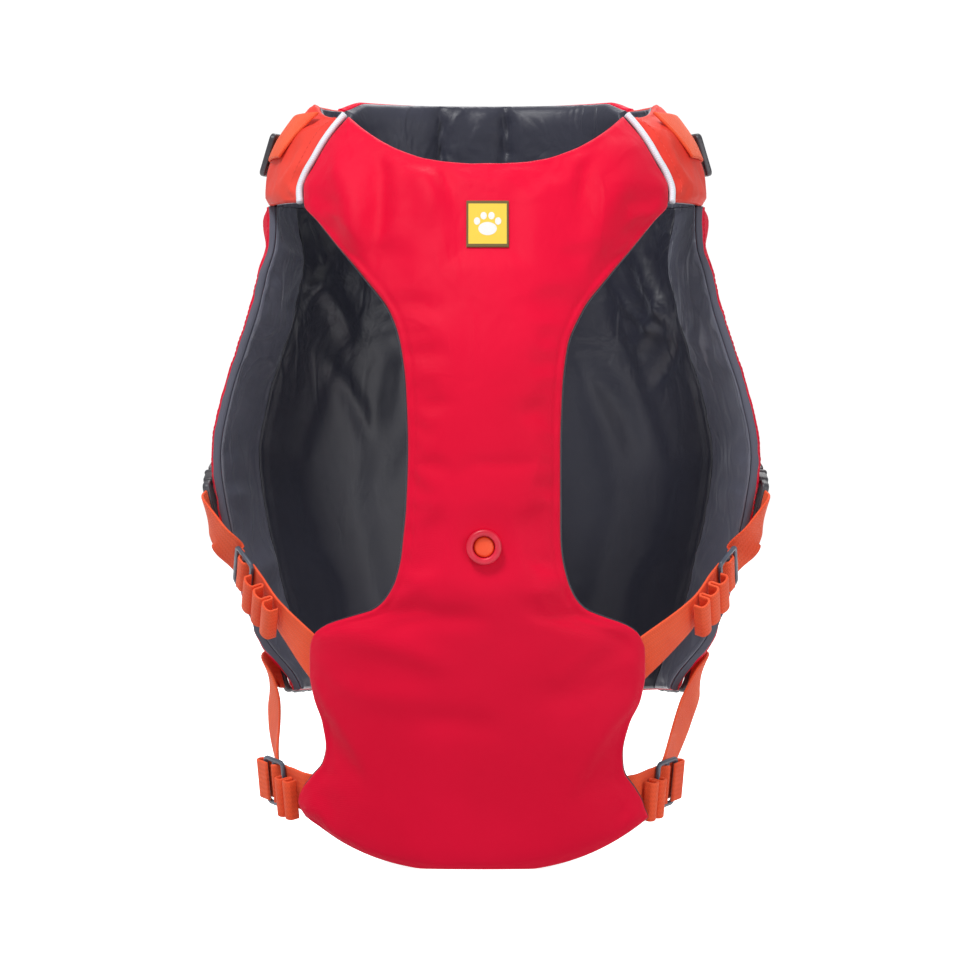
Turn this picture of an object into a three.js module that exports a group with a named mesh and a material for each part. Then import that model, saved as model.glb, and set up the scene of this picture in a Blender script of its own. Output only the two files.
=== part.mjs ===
// Dog life jacket, filled out and seen from its belly side, in millimetres.
// +Z runs to the neck, -Y to the belly and +X to the right of the belly's view.
// The origin is on the back lining's inner face, on the spine and half way along the back.
import * as THREE from 'three';

const seamGap = 0.3;
const webbingWidth = 25;
const webbingThickness = 1.6;
const liningThickness = 1.5;
const backPadding = 10;
const seamPadding = 4;
const edgePadding = 2.6;
const paddingRise = 16;
const bellyPadding = 7;
const collarChannelRise = 6;
const pipingRadius = 2.2;
const flankFlare = 9;
const flareReach = 46;
const flareLowZ = -140;
const flareHighZ = 74;
const flareTopZ = 122;
const flankSoftness = 2;
const liningPeek = 1.4;
const seamAngle = 112.5;
const collarAngle = 120;
const shoulderSeamZ = 122;
const backHemZ = -181;
const collarTopZ = 190;
const bellyRearZ = -254;
const bellyTipZ = 173.5;
const hemDrop = 32;
const hemPower = 2.6;
const neckDrop = 30.5;
const neckPower = 2.6;
const backHemDrop = 9;
const evenShare = 0.45;

// Millimetres round the body for one degree, near enough for padding and gaps.
const millimetresPerDegree = 2.4;
const millimetresPerShoulderDegree = 1.8;

// The inner face of the body's wrap at each height: half width, spine, belly, and the half width
// that the belly's own curve follows.
const bodySections = [
  { z: -300, halfWidth: 104, spineY: -20, bellyY: -184, bellyHalfWidth: 150 },
  { z: -240, halfWidth: 107, spineY: -14, bellyY: -199, bellyHalfWidth: 150 },
  { z: -181, halfWidth: 116, spineY: -8, bellyY: -214, bellyHalfWidth: 150 },
  { z: -140, halfWidth: 132, spineY: -4, bellyY: -224, bellyHalfWidth: 150 },
  { z: -106, halfWidth: 142, spineY: -1, bellyY: -231, bellyHalfWidth: 152 },
  { z: -62, halfWidth: 152, spineY: 0, bellyY: -232, bellyHalfWidth: 156 },
  { z: -35, halfWidth: 155, spineY: 0, bellyY: -231, bellyHalfWidth: 158 },
  { z: 0, halfWidth: 149, spineY: 0, bellyY: -228, bellyHalfWidth: 156.5 },
  { z: 30, halfWidth: 139.5, spineY: 0, bellyY: -223, bellyHalfWidth: 147.5 },
  { z: 60, halfWidth: 130.5, spineY: 1, bellyY: -214, bellyHalfWidth: 138 },
  { z: 90, halfWidth: 125.5, spineY: 3, bellyY: -203, bellyHalfWidth: 131 },
  { z: 122, halfWidth: 130, spineY: 5, bellyY: -189, bellyHalfWidth: 130 },
  { z: 140, halfWidth: 128, spineY: 7, bellyY: -179, bellyHalfWidth: 128 },
  { z: 155, halfWidth: 123, spineY: 9, bellyY: -170, bellyHalfWidth: 123 },
  { z: 168, halfWidth: 115, spineY: 10, bellyY: -161, bellyHalfWidth: 115 },
  { z: 177, halfWidth: 108, spineY: 11, bellyY: -154, bellyHalfWidth: 108 },
  { z: 192, halfWidth: 98, spineY: 12, bellyY: -144, bellyHalfWidth: 98 },
];

// The belly panel's outline: half width at each height and how far its middle is off centre.
const bellyOutline = [
  { z: -254, halfWidth: 103, centreX: -5 },
  { z: -245, halfWidth: 103.5, centreX: -9 },
  { z: -237, halfWidth: 100.4, centreX: -10 },
  { z: -229, halfWidth: 94.8, centreX: -10 },
  { z: -221, halfWidth: 90.4, centreX: -8 },
  { z: -212, halfWidth: 89.2, centreX: -7 },
  { z: -196, halfWidth: 92, centreX: -6 },
  { z: -180, halfWidth: 97.5, centreX: -5 },
  { z: -165, halfWidth: 99.8, centreX: -5 },
  { z: -150, halfWidth: 99.5, centreX: -5 },
  { z: -141, halfWidth: 96.5, centreX: -5.5 },
  { z: -135, halfWidth: 89, centreX: -5.5 },
  { z: -130, halfWidth: 76, centreX: -5 },
  { z: -125, halfWidth: 63, centreX: -3.5 },
  { z: -117, halfWidth: 55.4, centreX: -3 },
  { z: -106, halfWidth: 50.4, centreX: -2.5 },
  { z: -90, halfWidth: 47.2, centreX: -2.5 },
  { z: -62, halfWidth: 45.6, centreX: -1.5 },
  { z: -30, halfWidth: 45.1, centreX: -1 },
  { z: 5, halfWidth: 46.2, centreX: -1 },
  { z: 32, halfWidth: 49.3, centreX: -1 },
  { z: 54, halfWidth: 57.5, centreX: 0 },
  { z: 74, halfWidth: 72.5, centreX: 0 },
  { z: 96, halfWidth: 90.5, centreX: 0 },
  { z: 110, halfWidth: 101.5, centreX: 0 },
  { z: 119, halfWidth: 108.5, centreX: 0 },
  { z: 130, halfWidth: 109, centreX: 0 },
  { z: 145, halfWidth: 102, centreX: 0 },
  { z: 160, halfWidth: 93.5, centreX: 0 },
  { z: 173.5, halfWidth: 83, centreX: 0 },
];

// The flank's free edge, as an angle round the body from the belly.
const flankEdge = [
  { z: -190, angle: 99 },
  { z: -150, angle: 97 },
  { z: -106, angle: 94 },
  { z: -62, angle: 90 },
  { z: -20, angle: 88 },
  { z: 122, angle: 88 },
];

const red = { color: 0xe6123f, roughness: 0.72, metalness: 0 };
const orange = { color: 0xfa5f3c, roughness: 0.68, metalness: 0 };
const coral = { color: 0xf25048, roughness: 0.72, metalness: 0 };
const grey = { color: 0x3a3a46, roughness: 0.62, metalness: 0 };
const silver = { color: 0xdfe4ec, roughness: 0.45, metalness: 0 };
const hardware = { color: 0x55565f, roughness: 0.4, metalness: 0 };
const yellow = { color: 0xf6d04d, roughness: 0.6, metalness: 0 };

const jacket = new THREE.Group();

function addPiece(name, geometry, look, place) {
  const mesh = new THREE.Mesh(geometry, new THREE.MeshStandardMaterial(look));
  mesh.name = name;
  if (place) {
    mesh.position.copy(place.position);
    mesh.quaternion.copy(place.quaternion);
  }
  jacket.add(mesh);
  return mesh;
}

function radians(degrees) {
  return (degrees * Math.PI) / 180;
}

// A column of a table at a height between its rows, on a smooth curve that never overshoots them.
function columnAt(table, column, z) {
  const last = table.length - 1;
  if (z <= table[0].z) return table[0][column];
  if (z >= table[last].z) return table[last][column];
  let row = 0;
  while (table[row + 1].z < z) row += 1;
  const slopeOf = (i) => (table[i + 1][column] - table[i][column]) / (table[i + 1].z - table[i].z);
  const tangentOf = (i) => {
    if (i === 0 || i === last) return slopeOf(Math.min(i, last - 1));
    const before = slopeOf(i - 1);
    const after = slopeOf(i);
    return before * after > 0 ? (2 * before * after) / (before + after) : 0;
  };
  const span = table[row + 1].z - table[row].z;
  const t = (z - table[row].z) / span;
  const start = table[row][column];
  const rise = table[row + 1][column] - start;
  const ease = t * t * (3 - 2 * t);
  const leave = (t * t * t - 2 * t * t + t) * span * tangentOf(row);
  const arrive = (t * t * t - t * t) * span * tangentOf(row + 1);
  return start + rise * ease + leave + arrive;
}

// A point of the wrap's inner face. The angle runs round from 0 at the belly, to 90 at the right
// side and to 180 at the spine.
function wrapPoint(angle, z) {
  const turn = radians(angle);
  const spineY = columnAt(bodySections, 'spineY', z);
  const halfDepth = (spineY - columnAt(bodySections, 'bellyY', z)) / 2;
  const x = columnAt(bodySections, 'halfWidth', z) * Math.sin(turn);
  return new THREE.Vector3(x, spineY - halfDepth - halfDepth * Math.cos(turn), z);
}

// A point of the belly's inner face from its place across.
function bellyPoint(x, z) {
  const spineY = columnAt(bodySections, 'spineY', z);
  const halfDepth = (spineY - columnAt(bodySections, 'bellyY', z)) / 2;
  const sine = THREE.MathUtils.clamp(x / columnAt(bodySections, 'bellyHalfWidth', z), -0.96, 0.96);
  return new THREE.Vector3(x, spineY - halfDepth - halfDepth * Math.sqrt(1 - sine * sine), z);
}

// A surface function moved out along its own normal.
function movedOut(surface, a, b, distance) {
  const step = 0.05;
  const point = surface(a, b);
  const alongA = surface(a + step, b).sub(surface(a - step, b));
  const alongB = surface(a, b + step).sub(surface(a, b - step));
  const normal = alongA.cross(alongB).normalize();
  return point.addScaledVector(normal, distance);
}

function outwardNormal(surface, a, b) {
  return movedOut(surface, a, b, 1).sub(surface(a, b));
}

// How far padding has risen at a distance in from its edge.
function padding(edge, full, distance) {
  const t = THREE.MathUtils.clamp(distance / paddingRise, 0, 1);
  return edge + (full - edge) * Math.sqrt(1 - (1 - t) * (1 - t));
}

// Steps from 0 to 1 that crowd towards both ends.
function crowded(i, count) {
  const t = i / count;
  return evenShare * t + (1 - evenShare) * (0.5 - 0.5 * Math.cos(Math.PI * t));
}

// One closed wall between an inner and an outer grid of points.
function wallGeometry(columns, rows, innerAt, outerAt) {
  const across = columns + 1;
  const layer = across * (rows + 1);
  const points = [];
  for (const pointAt of [innerAt, outerAt]) {
    for (let j = 0; j <= rows; j += 1) {
      for (let i = 0; i <= columns; i += 1) points.push(...pointAt(i / columns, j / rows, i, j).toArray());
    }
  }
  const faces = [];
  const quad = (a, b, c, d) => faces.push(a, b, c, a, c, d);
  for (let j = 0; j < rows; j += 1) {
    for (let i = 0; i < columns; i += 1) {
      const at = j * across + i;
      quad(at, at + across, at + across + 1, at + 1);
      quad(layer + at, layer + at + 1, layer + at + across + 1, layer + at + across);
    }
  }
  const rim = [];
  for (let i = 0; i < columns; i += 1) rim.push(i);
  for (let j = 0; j < rows; j += 1) rim.push(j * across + columns);
  for (let i = columns; i > 0; i -= 1) rim.push(rows * across + i);
  for (let j = rows; j > 0; j -= 1) rim.push(j * across);
  rim.forEach((at, i) => {
    const next = rim[(i + 1) % rim.length];
    quad(at, next, layer + next, layer + at);
  });
  return facingOut(points, faces);
}

// A geometry from points and faces, turned round where its volume comes out negative.
function facingOut(points, faces) {
  let volume = 0;
  const a = new THREE.Vector3();
  const b = new THREE.Vector3();
  const c = new THREE.Vector3();
  for (let i = 0; i < faces.length; i += 3) {
    a.fromArray(points, faces[i] * 3);
    b.fromArray(points, faces[i + 1] * 3);
    c.fromArray(points, faces[i + 2] * 3);
    volume += a.dot(b.cross(c));
  }
  const turned = volume < 0 ? faces.slice().reverse() : faces;
  const geometry = new THREE.BufferGeometry();
  geometry.setAttribute('position', new THREE.Float32BufferAttribute(points, 3));
  geometry.setIndex(turned);
  geometry.computeVertexNormals();
  return geometry;
}

// A flat band through stations, each with its centre and the direction across it.
function bandGeometry(stations, width, thickness) {
  const points = [];
  stations.forEach((station, i) => {
    const before = stations[Math.max(i - 1, 0)].point;
    const after = stations[Math.min(i + 1, stations.length - 1)].point;
    const along = after.clone().sub(before).normalize();
    const across = station.across.clone().addScaledVector(along, -station.across.dot(along)).normalize();
    const out = along.clone().cross(across).normalize();
    for (const [u, v] of [[-1, -1], [1, -1], [1, 1], [-1, 1]]) {
      const corner = station.point.clone().addScaledVector(across, (u * width) / 2);
      points.push(...corner.addScaledVector(out, (v * thickness) / 2).toArray());
    }
  });
  const faces = [0, 1, 2, 0, 2, 3];
  const end = (stations.length - 1) * 4;
  faces.push(end, end + 2, end + 1, end, end + 3, end + 2);
  for (let i = 0; i < end; i += 4) {
    for (let side = 0; side < 4; side += 1) {
      const next = (side + 1) % 4;
      faces.push(i + side, i + 4 + next, i + next, i + side, i + 4 + side, i + 4 + next);
    }
  }
  return facingOut(points, faces);
}

// Stations along a smooth curve through a few key points, each with its own direction across.
function stationsThrough(keys, steps) {
  const path = new THREE.CatmullRomCurve3(keys.map((key) => key.point));
  const turn = new THREE.CatmullRomCurve3(keys.map((key) => key.across));
  const stations = [];
  for (let i = 0; i <= steps; i += 1) {
    stations.push({ point: path.getPoint(i / steps), across: turn.getPoint(i / steps) });
  }
  return stations;
}

// A place whose local X, Y and Z axes lie along, across and out from a face.
function placeAt(position, along, out) {
  const z = out.clone().normalize();
  const x = along.clone().addScaledVector(z, -along.dot(z)).normalize();
  const y = z.clone().cross(x);
  const quaternion = new THREE.Quaternion().setFromRotationMatrix(new THREE.Matrix4().makeBasis(x, y, z));
  return { position, quaternion, along: x, across: y, out: z };
}

function mirrored(vector, side) {
  return new THREE.Vector3(vector.x * side, vector.y, vector.z);
}

// The height of the back's hem at an angle.
function hemZ(angle) {
  return backHemZ - backHemDrop * Math.pow(Math.cos(radians(angle)), 2);
}

// How far the flank turns out from the body towards its free edge.
function flareAt(angle, z) {
  const fromEdge = (angle - columnAt(flankEdge, 'angle', z)) * millimetresPerDegree;
  const reach = THREE.MathUtils.clamp(1 - fromEdge / flareReach, 0, 1);
  const fade = 1 - THREE.MathUtils.smoothstep(z, flareHighZ, flareTopZ);
  return flankFlare * reach * reach * fade * THREE.MathUtils.smoothstep(z, backHemZ, flareLowZ);
}

function backPaddingAt(angle, z) {
  const fromSeam = (180 - seamAngle - Math.abs(180 - angle)) * millimetresPerDegree;
  const fromEnds = Math.min(shoulderSeamZ - z, z - hemZ(angle));
  return Math.min(padding(seamPadding, backPadding, fromSeam), padding(seamPadding, backPadding, fromEnds));
}

function flankPaddingAt(angle, z) {
  const fromEdge = (angle - columnAt(flankEdge, 'angle', z)) * millimetresPerDegree;
  const fromSeam = (seamAngle - angle) * millimetresPerDegree;
  const fromEnds = Math.min(shoulderSeamZ - z, z - hemZ(angle));
  return Math.min(
    padding(edgePadding, backPadding, fromEdge / flankSoftness),
    padding(seamPadding, backPadding, fromSeam),
    padding(seamPadding, backPadding, fromEnds),
  );
}

function addBack() {
  const columns = 18;
  const rows = 13;
  const gapAngle = seamGap / millimetresPerDegree / 2;
  const place = (s, t) => {
    const first = seamAngle + gapAngle;
    const angle = first + (360 - 2 * first) * crowded(Math.round(s * columns), columns);
    const low = hemZ(angle);
    return { angle, z: low + (shoulderSeamZ - seamGap - low) * crowded(Math.round(t * rows), rows) };
  };
  const layer = (lift) => (s, t) => {
    const { angle, z } = place(s, t);
    return movedOut(wrapPoint, angle, z, lift(angle, z));
  };
  const shellBase = liningThickness + seamGap;
  addPiece('back_lining', wallGeometry(columns, rows, layer(() => 0), layer(() => liningThickness)), grey);
  const outer = layer((angle, z) => shellBase + backPaddingAt(angle, z));
  addPiece('back_shell', wallGeometry(columns, rows, layer(() => shellBase), outer), red);
}

function addFlank(side, suffix) {
  const columns = 7;
  const rows = 15;
  const gapAngle = seamGap / millimetresPerDegree / 2;
  const place = (s, t) => {
    const roughZ = backHemZ + (shoulderSeamZ - backHemZ) * t;
    const first = columnAt(flankEdge, 'angle', roughZ);
    const angle = first + (seamAngle - gapAngle - first) * crowded(Math.round(s * columns), columns);
    const low = hemZ(angle);
    return { angle, z: low + (shoulderSeamZ - seamGap - low) * crowded(Math.round(t * rows), rows) };
  };
  const layer = (lift) => (s, t) => {
    const { angle, z } = place(s, t);
    return mirrored(movedOut(wrapPoint, angle, z, lift(angle, z) + flareAt(angle, z)), side);
  };
  const shellBase = liningThickness + seamGap;
  const lining = wallGeometry(columns, rows, layer(() => 0), layer(() => liningThickness));
  addPiece(`flank_lining_${suffix}`, lining, grey);
  const outer = layer((angle, z) => shellBase + flankPaddingAt(angle, z));
  addPiece(`flank_shell_${suffix}`, wallGeometry(columns, rows, layer(() => shellBase), outer), red);
}

// The collar's lining is quilted in upright channels: wide ones at the sides, a narrow one between.
const collarCreases = [-30, 13];
const channelFootZ = 150;
const collarShellRise = 0.8;
const collarPadding = 7;

function channelRiseAt(x, z) {
  const nearest = Math.min(...collarCreases.map((crease) => Math.abs(x - crease)));
  const upper = padding(0, 1, collarTopZ - z);
  const lower = THREE.MathUtils.smoothstep(z, shoulderSeamZ, channelFootZ);
  return collarChannelRise * padding(0, 1, nearest) * upper * lower;
}

function addCollar() {
  const columns = 18;
  const rows = 5;
  const lowZ = shoulderSeamZ + seamGap;
  const gapAngle = seamGap / millimetresPerDegree / 2;
  const layer = (lift, top) => (s, t) => {
    const first = collarAngle + gapAngle;
    const angle = first + (360 - 2 * first) * s;
    const z = lowZ + (top - lowZ) * t;
    return movedOut(wrapPoint, angle, z, lift(wrapPoint(angle, z).x, z));
  };
  const channelled = layer((x, z) => -channelRiseAt(x, z), collarTopZ);
  const liningBack = layer(() => liningThickness, collarTopZ);
  addPiece('collar_lining', wallGeometry(columns, rows, channelled, liningBack), grey);
  const shellBase = liningThickness + seamGap;
  const shellTop = collarTopZ + collarShellRise;
  const shellOuter = layer(
    (x, z) => shellBase + padding(seamPadding, collarPadding, Math.min(z - lowZ, shellTop - z)),
    shellTop,
  );
  addPiece('collar_shell', wallGeometry(columns, rows, layer(() => shellBase, shellTop), shellOuter), red);
}

const hemTopZ = -165;
const neckFootZ = 70;

// The belly panel's grid: s runs from -1 to 1 across and t from the hem to the neckline.
function bellyPlace(s, t, peek) {
  const rowZ = bellyRearZ - peek + (bellyTipZ + peek - bellyRearZ + peek) * t;
  const clampedZ = THREE.MathUtils.clamp(rowZ, bellyRearZ, bellyTipZ);
  const nearHem = 1 - THREE.MathUtils.smoothstep(rowZ, bellyRearZ, hemTopZ);
  const nearNeck = THREE.MathUtils.smoothstep(rowZ, neckFootZ, bellyTipZ);
  const hem = hemDrop * (1 - Math.pow(Math.abs(s), hemPower)) * nearHem;
  const neck = neckDrop * (1 - Math.pow(Math.abs(s), neckPower)) * nearNeck;
  const half = columnAt(bellyOutline, 'halfWidth', clampedZ) + peek;
  return { x: columnAt(bellyOutline, 'centreX', clampedZ) + s * half, z: rowZ - hem - neck };
}

const bellyColumns = 12;
const bellyBase = liningThickness + 0.5;
const bellyRows = 29;
const rowCrowding = 0.055;
const rowShift = 0.02;

// Rows crowd where the leg holes turn out to the rear part.
function bellyRow(t) {
  return t - rowCrowding * Math.sin(2 * Math.PI * (t - rowShift)) * (1 - t);
}

function bellyPaddingAt(s, t) {
  const { z } = bellyPlace(s, t, 0);
  const half = columnAt(bellyOutline, 'halfWidth', THREE.MathUtils.clamp(z, bellyRearZ, bellyTipZ));
  const fromSide = (1 - Math.abs(s)) * half;
  const fromEnds = Math.min(t, 1 - t) * (bellyTipZ - bellyRearZ);
  return padding(edgePadding, bellyPadding, Math.min(fromSide, fromEnds));
}

function bellyOuterPoint(x, z, lift) {
  return movedOut(bellyPoint, x, z, lift);
}

function addBelly() {
  const layer = (lift, peek) => (s, t) => {
    const across = crowded(Math.round(s * bellyColumns), bellyColumns) * 2 - 1;
    const up = bellyRow(t);
    const { x, z } = bellyPlace(across, up, peek);
    return bellyOuterPoint(x, z, lift(across, up));
  };
  const inner = layer(() => 0, liningPeek);
  const middle = layer(() => liningThickness, liningPeek);
  addPiece('belly_lining', wallGeometry(bellyColumns, bellyRows, inner, middle), grey);
  const outer = layer((s, t) => bellyBase + bellyPaddingAt(s, t), 0);
  addPiece('belly_panel', wallGeometry(bellyColumns, bellyRows, layer(() => bellyBase, 0), outer), red);
}

function bellyEdgeX(side, z) {
  return columnAt(bellyOutline, 'centreX', z) + side * columnAt(bellyOutline, 'halfWidth', z);
}

// The angle round the body at a distance beyond the belly panel's upper edge.
function shoulderSeamAngle(z, beyond) {
  const x = columnAt(bellyOutline, 'halfWidth', Math.min(z, bellyTipZ));
  const sine = Math.min(x / columnAt(bodySections, 'halfWidth', z), 0.985);
  return (Math.asin(sine) * 180) / Math.PI + beyond / millimetresPerShoulderDegree;
}

const neckSidePadding = 7;
const neckSideFrontZ = 172.5;
const neckSideRise = 11.5;
const neckSideFrontAngle = 52;
const neckSideBackAngle = 88;
const pipingSeam = 2 * (pipingRadius + seamGap);

function neckSideTopZ(angle) {
  const back = THREE.MathUtils.smoothstep(angle, neckSideFrontAngle, neckSideBackAngle);
  return neckSideFrontZ + neckSideRise * back;
}

function neckSidePaddingAt(angle, z) {
  const fromPiping = (angle - shoulderSeamAngle(z, pipingSeam)) * millimetresPerDegree;
  const fromCollar = (collarAngle - angle) * millimetresPerDegree;
  const fromEnds = Math.min(neckSideTopZ(angle) - z, z - shoulderSeamZ);
  return padding(edgePadding, neckSidePadding, Math.min(fromPiping, fromCollar, fromEnds));
}

function addNeckSide(side, suffix) {
  const columns = 10;
  const rows = 8;
  const gapAngle = seamGap / millimetresPerDegree / 2;
  const place = (s, t) => {
    const roughZ = shoulderSeamZ + (bellyTipZ - shoulderSeamZ) * t;
    const first = shoulderSeamAngle(roughZ, pipingSeam);
    const angle = first + (collarAngle - gapAngle - first) * s;
    const low = shoulderSeamZ + seamGap;
    return { angle, z: low + (neckSideTopZ(angle) - low) * t };
  };
  const layer = (lift) => (s, t) => {
    const { angle, z } = place(s, t);
    return mirrored(movedOut(wrapPoint, angle, z, lift(angle, z)), side);
  };
  const shellBase = liningThickness + seamGap;
  const lining = wallGeometry(columns, rows, layer(() => 0), layer(() => liningThickness));
  addPiece(`neck_side_lining_${suffix}`, lining, grey);
  const outer = layer((angle, z) => shellBase + neckSidePaddingAt(angle, z));
  addPiece(`neck_side_${suffix}`, wallGeometry(columns, rows, layer(() => shellBase), outer), coral);
}

function addPiping(side, suffix) {
  const keys = [];
  for (let i = 0; i <= 6; i += 1) {
    const z = shoulderSeamZ - 1 + ((bellyTipZ - shoulderSeamZ + 1) * i) / 6;
    const angle = shoulderSeamAngle(z, seamGap + pipingRadius);
    keys.push(mirrored(movedOut(wrapPoint, angle, z, liningThickness + 2 * pipingRadius), side));
  }
  const section = new THREE.Shape();
  section.absarc(0, 0, pipingRadius, 0, 2 * Math.PI);
  const path = new THREE.CatmullRomCurve3(keys);
  const geometry = new THREE.ExtrudeGeometry(section, { steps: 12, extrudePath: path, curveSegments: 4 });
  addPiece(`piping_${suffix}`, geometry, silver);
}

// Webbing hardware: a slider with two slots, and a side-release buckle in two halves.
const sliderLength = 22;
const sliderWidth = 31.5;
const sliderThickness = 2.6;
const sliderBar = 3;
const slotWidth = webbingWidth + 1.4;
const buckleWidth = 34;
const buckleThickness = 9;
const socketLength = 32;
const tongueLength = 20;
const buckleRound = 5;
const buckleSlot = 4.5;
const buckleSlotWidth = webbingWidth - 1.6;
const slotInset = 6;

// A rectangle with round corners, traced on a shape or on a hole's path.
function traceRounded(path, centreX, length, width, radius) {
  const x = length / 2 - radius;
  const y = width / 2 - radius;
  path.absarc(centreX + x, -y, radius, -Math.PI / 2, 0);
  path.absarc(centreX + x, y, radius, 0, Math.PI / 2);
  path.absarc(centreX - x, y, radius, Math.PI / 2, Math.PI);
  path.absarc(centreX - x, -y, radius, Math.PI, (3 * Math.PI) / 2);
  return path;
}

function slotHole(centreX, length, width) {
  return traceRounded(new THREE.Path(), centreX, length, width, 0.7);
}

function plateGeometry(shape, thickness) {
  const settings = { depth: thickness, bevelEnabled: false, curveSegments: 2 };
  const geometry = new THREE.ExtrudeGeometry(shape, settings);
  geometry.translate(0, 0, -thickness / 2);
  return geometry;
}

function sliderGeometry() {
  const shape = traceRounded(new THREE.Shape(), 0, sliderLength, sliderWidth, 2.6);
  const slotLength = (sliderLength - 3 * sliderBar) / 2;
  const slotCentre = (slotLength + sliderBar) / 2;
  shape.holes.push(slotHole(-slotCentre, slotLength, slotWidth), slotHole(slotCentre, slotLength, slotWidth));
  return plateGeometry(shape, sliderThickness);
}

function socketGeometry() {
  const shape = new THREE.Shape();
  const x = socketLength;
  const y = buckleWidth / 2;
  shape.moveTo(0, -y);
  shape.quadraticCurveTo(x * 0.45, -y * 0.78, x - buckleRound, -y * 0.9);
  shape.quadraticCurveTo(x, -y * 0.9, x, -y * 0.6);
  shape.lineTo(x, y * 0.6);
  shape.quadraticCurveTo(x, y * 0.9, x - buckleRound, y * 0.9);
  shape.quadraticCurveTo(x * 0.45, y * 0.78, 0, y);
  shape.holes.push(slotHole(x - slotInset, buckleSlot, buckleSlotWidth));
  return plateGeometry(shape, buckleThickness);
}

function tongueGeometry() {
  const shape = new THREE.Shape();
  const x = -tongueLength;
  const y = buckleWidth / 2;
  shape.moveTo(-seamGap, -y);
  shape.lineTo(-seamGap, y);
  shape.quadraticCurveTo(x * 0.4, y * 1.02, x + 4, y * 0.92);
  shape.quadraticCurveTo(x, y * 0.86, x, y * 0.6);
  shape.lineTo(x, -y * 0.6);
  shape.quadraticCurveTo(x, -y * 0.86, x + 4, -y * 0.92);
  shape.quadraticCurveTo(x * 0.4, -y * 1.02, -seamGap, -y);
  shape.holes.push(slotHole(x + slotInset, buckleSlot, buckleSlotWidth));
  return plateGeometry(shape, buckleThickness - 2.4);
}

const buckleLift = liningThickness + seamGap + backPadding + buckleThickness / 2 + 0.2;

// A buckle's place on the flank: local X runs back towards the spine, where its socket is.
function bucklePlace(side, angle, z, tilt) {
  const at = mirrored(movedOut(wrapPoint, angle, z, buckleLift + flareAt(angle, z)), side);
  const out = mirrored(outwardNormal(wrapPoint, angle, z), side);
  const ahead = mirrored(wrapPoint(angle + 1, z + tilt), side);
  return placeAt(at, ahead.sub(mirrored(wrapPoint(angle, z), side)), out);
}

function addBuckle(place, name) {
  addPiece(`${name}_socket`, socketGeometry(), hardware, place);
  addPiece(`${name}_tongue`, tongueGeometry(), hardware, place);
}

const girthStart = 7;
const strapLift = 0.8;

// Webbing over the back from one buckle's socket to the other's, on the panels' outer faces.
function addGirthBand(name, buckle) {
  const columns = 24;
  const reach = (socketLength + girthStart) / millimetresPerDegree;
  const first = buckle.angle + reach;
  const level = buckle.z + buckle.tilt * reach;
  const layer = (extra) => (s, t) => {
    const at = first + (360 - 2 * first) * s;
    const up = level + (t - 0.5) * webbingWidth;
    const pad = Math.max(backPaddingAt(at, level), seamPadding);
    return movedOut(wrapPoint, at, up, liningThickness + seamGap + pad + strapLift + extra);
  };
  addPiece(name, wallGeometry(columns, 2, layer(0), layer(webbingThickness)), orange);
}

const barFlat = 2.2;
const barSlope = 4.6;

// The strap rises over a slider's middle bar between its two slots.
function threaded(stations, centre, place, rise) {
  for (const station of stations) {
    const offset = station.point.clone().sub(centre).dot(place.along);
    const t = THREE.MathUtils.clamp((Math.abs(offset) - barFlat) / barSlope, 0, 1);
    station.point.addScaledVector(place.out, rise * (1 - t * t * (3 - 2 * t)));
  }
  return stations;
}

// A tail folded up in pleats: straight legs out from the strap, joined by wide turns outside and
// tight ones inside.
function foldedTail(place, tail) {
  const stations = [];
  const add = (u, w) => {
    const point = place.position.clone().addScaledVector(place.along, u).addScaledVector(place.out, w);
    stations.push({ point, across: place.across });
  };
  let u = 0;
  for (let leg = 0; leg < tail.legs; leg += 1) {
    const upward = leg % 2 === 0;
    const foot = leg === 0 ? tail.height * 0.2 : 0;
    add(u, upward ? foot : tail.height);
    add(u, upward ? tail.height : 0);
    if (leg === tail.legs - 1) break;
    const radius = upward ? tail.turn : tail.tuck;
    const rise = upward ? tail.crown : -tail.tuck;
    for (const swing of [45, 90, 135]) {
      const w = (upward ? tail.height : 0) + rise * Math.sin(radians(swing));
      add(u + radius - radius * Math.cos(radians(swing)), w);
    }
    u += 2 * radius;
  }
  return stations;
}

const frontBuckle = { angle: 99, z: -57, tilt: 0.8 };
const rearBuckle = { angle: 119, z: -164, tilt: 0.1 };
const strapUnder = -(seamGap + webbingThickness / 2 + 1.2);
const mouthGap = 1.2;
const mouthStraight = 9;
const threadRise = sliderThickness + 2 * seamGap + webbingThickness + 0.4;
const tailClear = 4.4;

// Where a strap is sewn under the belly's edge: its end, the edge and the direction across it.
function sewnEnd(side, z, along, reach) {
  const edgeX = bellyEdgeX(side, z);
  const edge = movedOut(bellyPoint, edgeX, z, strapUnder);
  const across = outwardNormal(bellyPoint, edgeX, z).cross(along).normalize();
  const inside = edge.clone().addScaledVector(along, -reach);
  const start = movedOut(bellyPoint, inside.x, inside.z, strapUnder);
  return { start, edge, across };
}

// The buckle's mouth, where the webbing leaves it, and a point straight before it.
function buckleMouth(buckle) {
  const mouth = buckle.position.clone().addScaledVector(buckle.along, -tongueLength - mouthGap);
  const before = mouth.clone().addScaledVector(buckle.along, -mouthStraight);
  return { mouth, before, across: buckle.across.clone().multiplyScalar(Math.sign(-buckle.across.z)) };
}

// The front strap: where it is sewn, its slider, and where it turns up beside the flank.
const frontStrap = { sewnZ: -158, tuck: 13, tailStart: 14 };
const frontTail = { legs: 6, height: 4.5, turn: 4.6, crown: 2.4, tuck: 1.3 };
const frontSliderAt = new THREE.Vector3(148, -137, -106);
const frontSliderFaces = new THREE.Vector3(0.86, -0.42, -0.28);
const frontStrapTurn = new THREE.Vector3(165.5, -131, -84);

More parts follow.
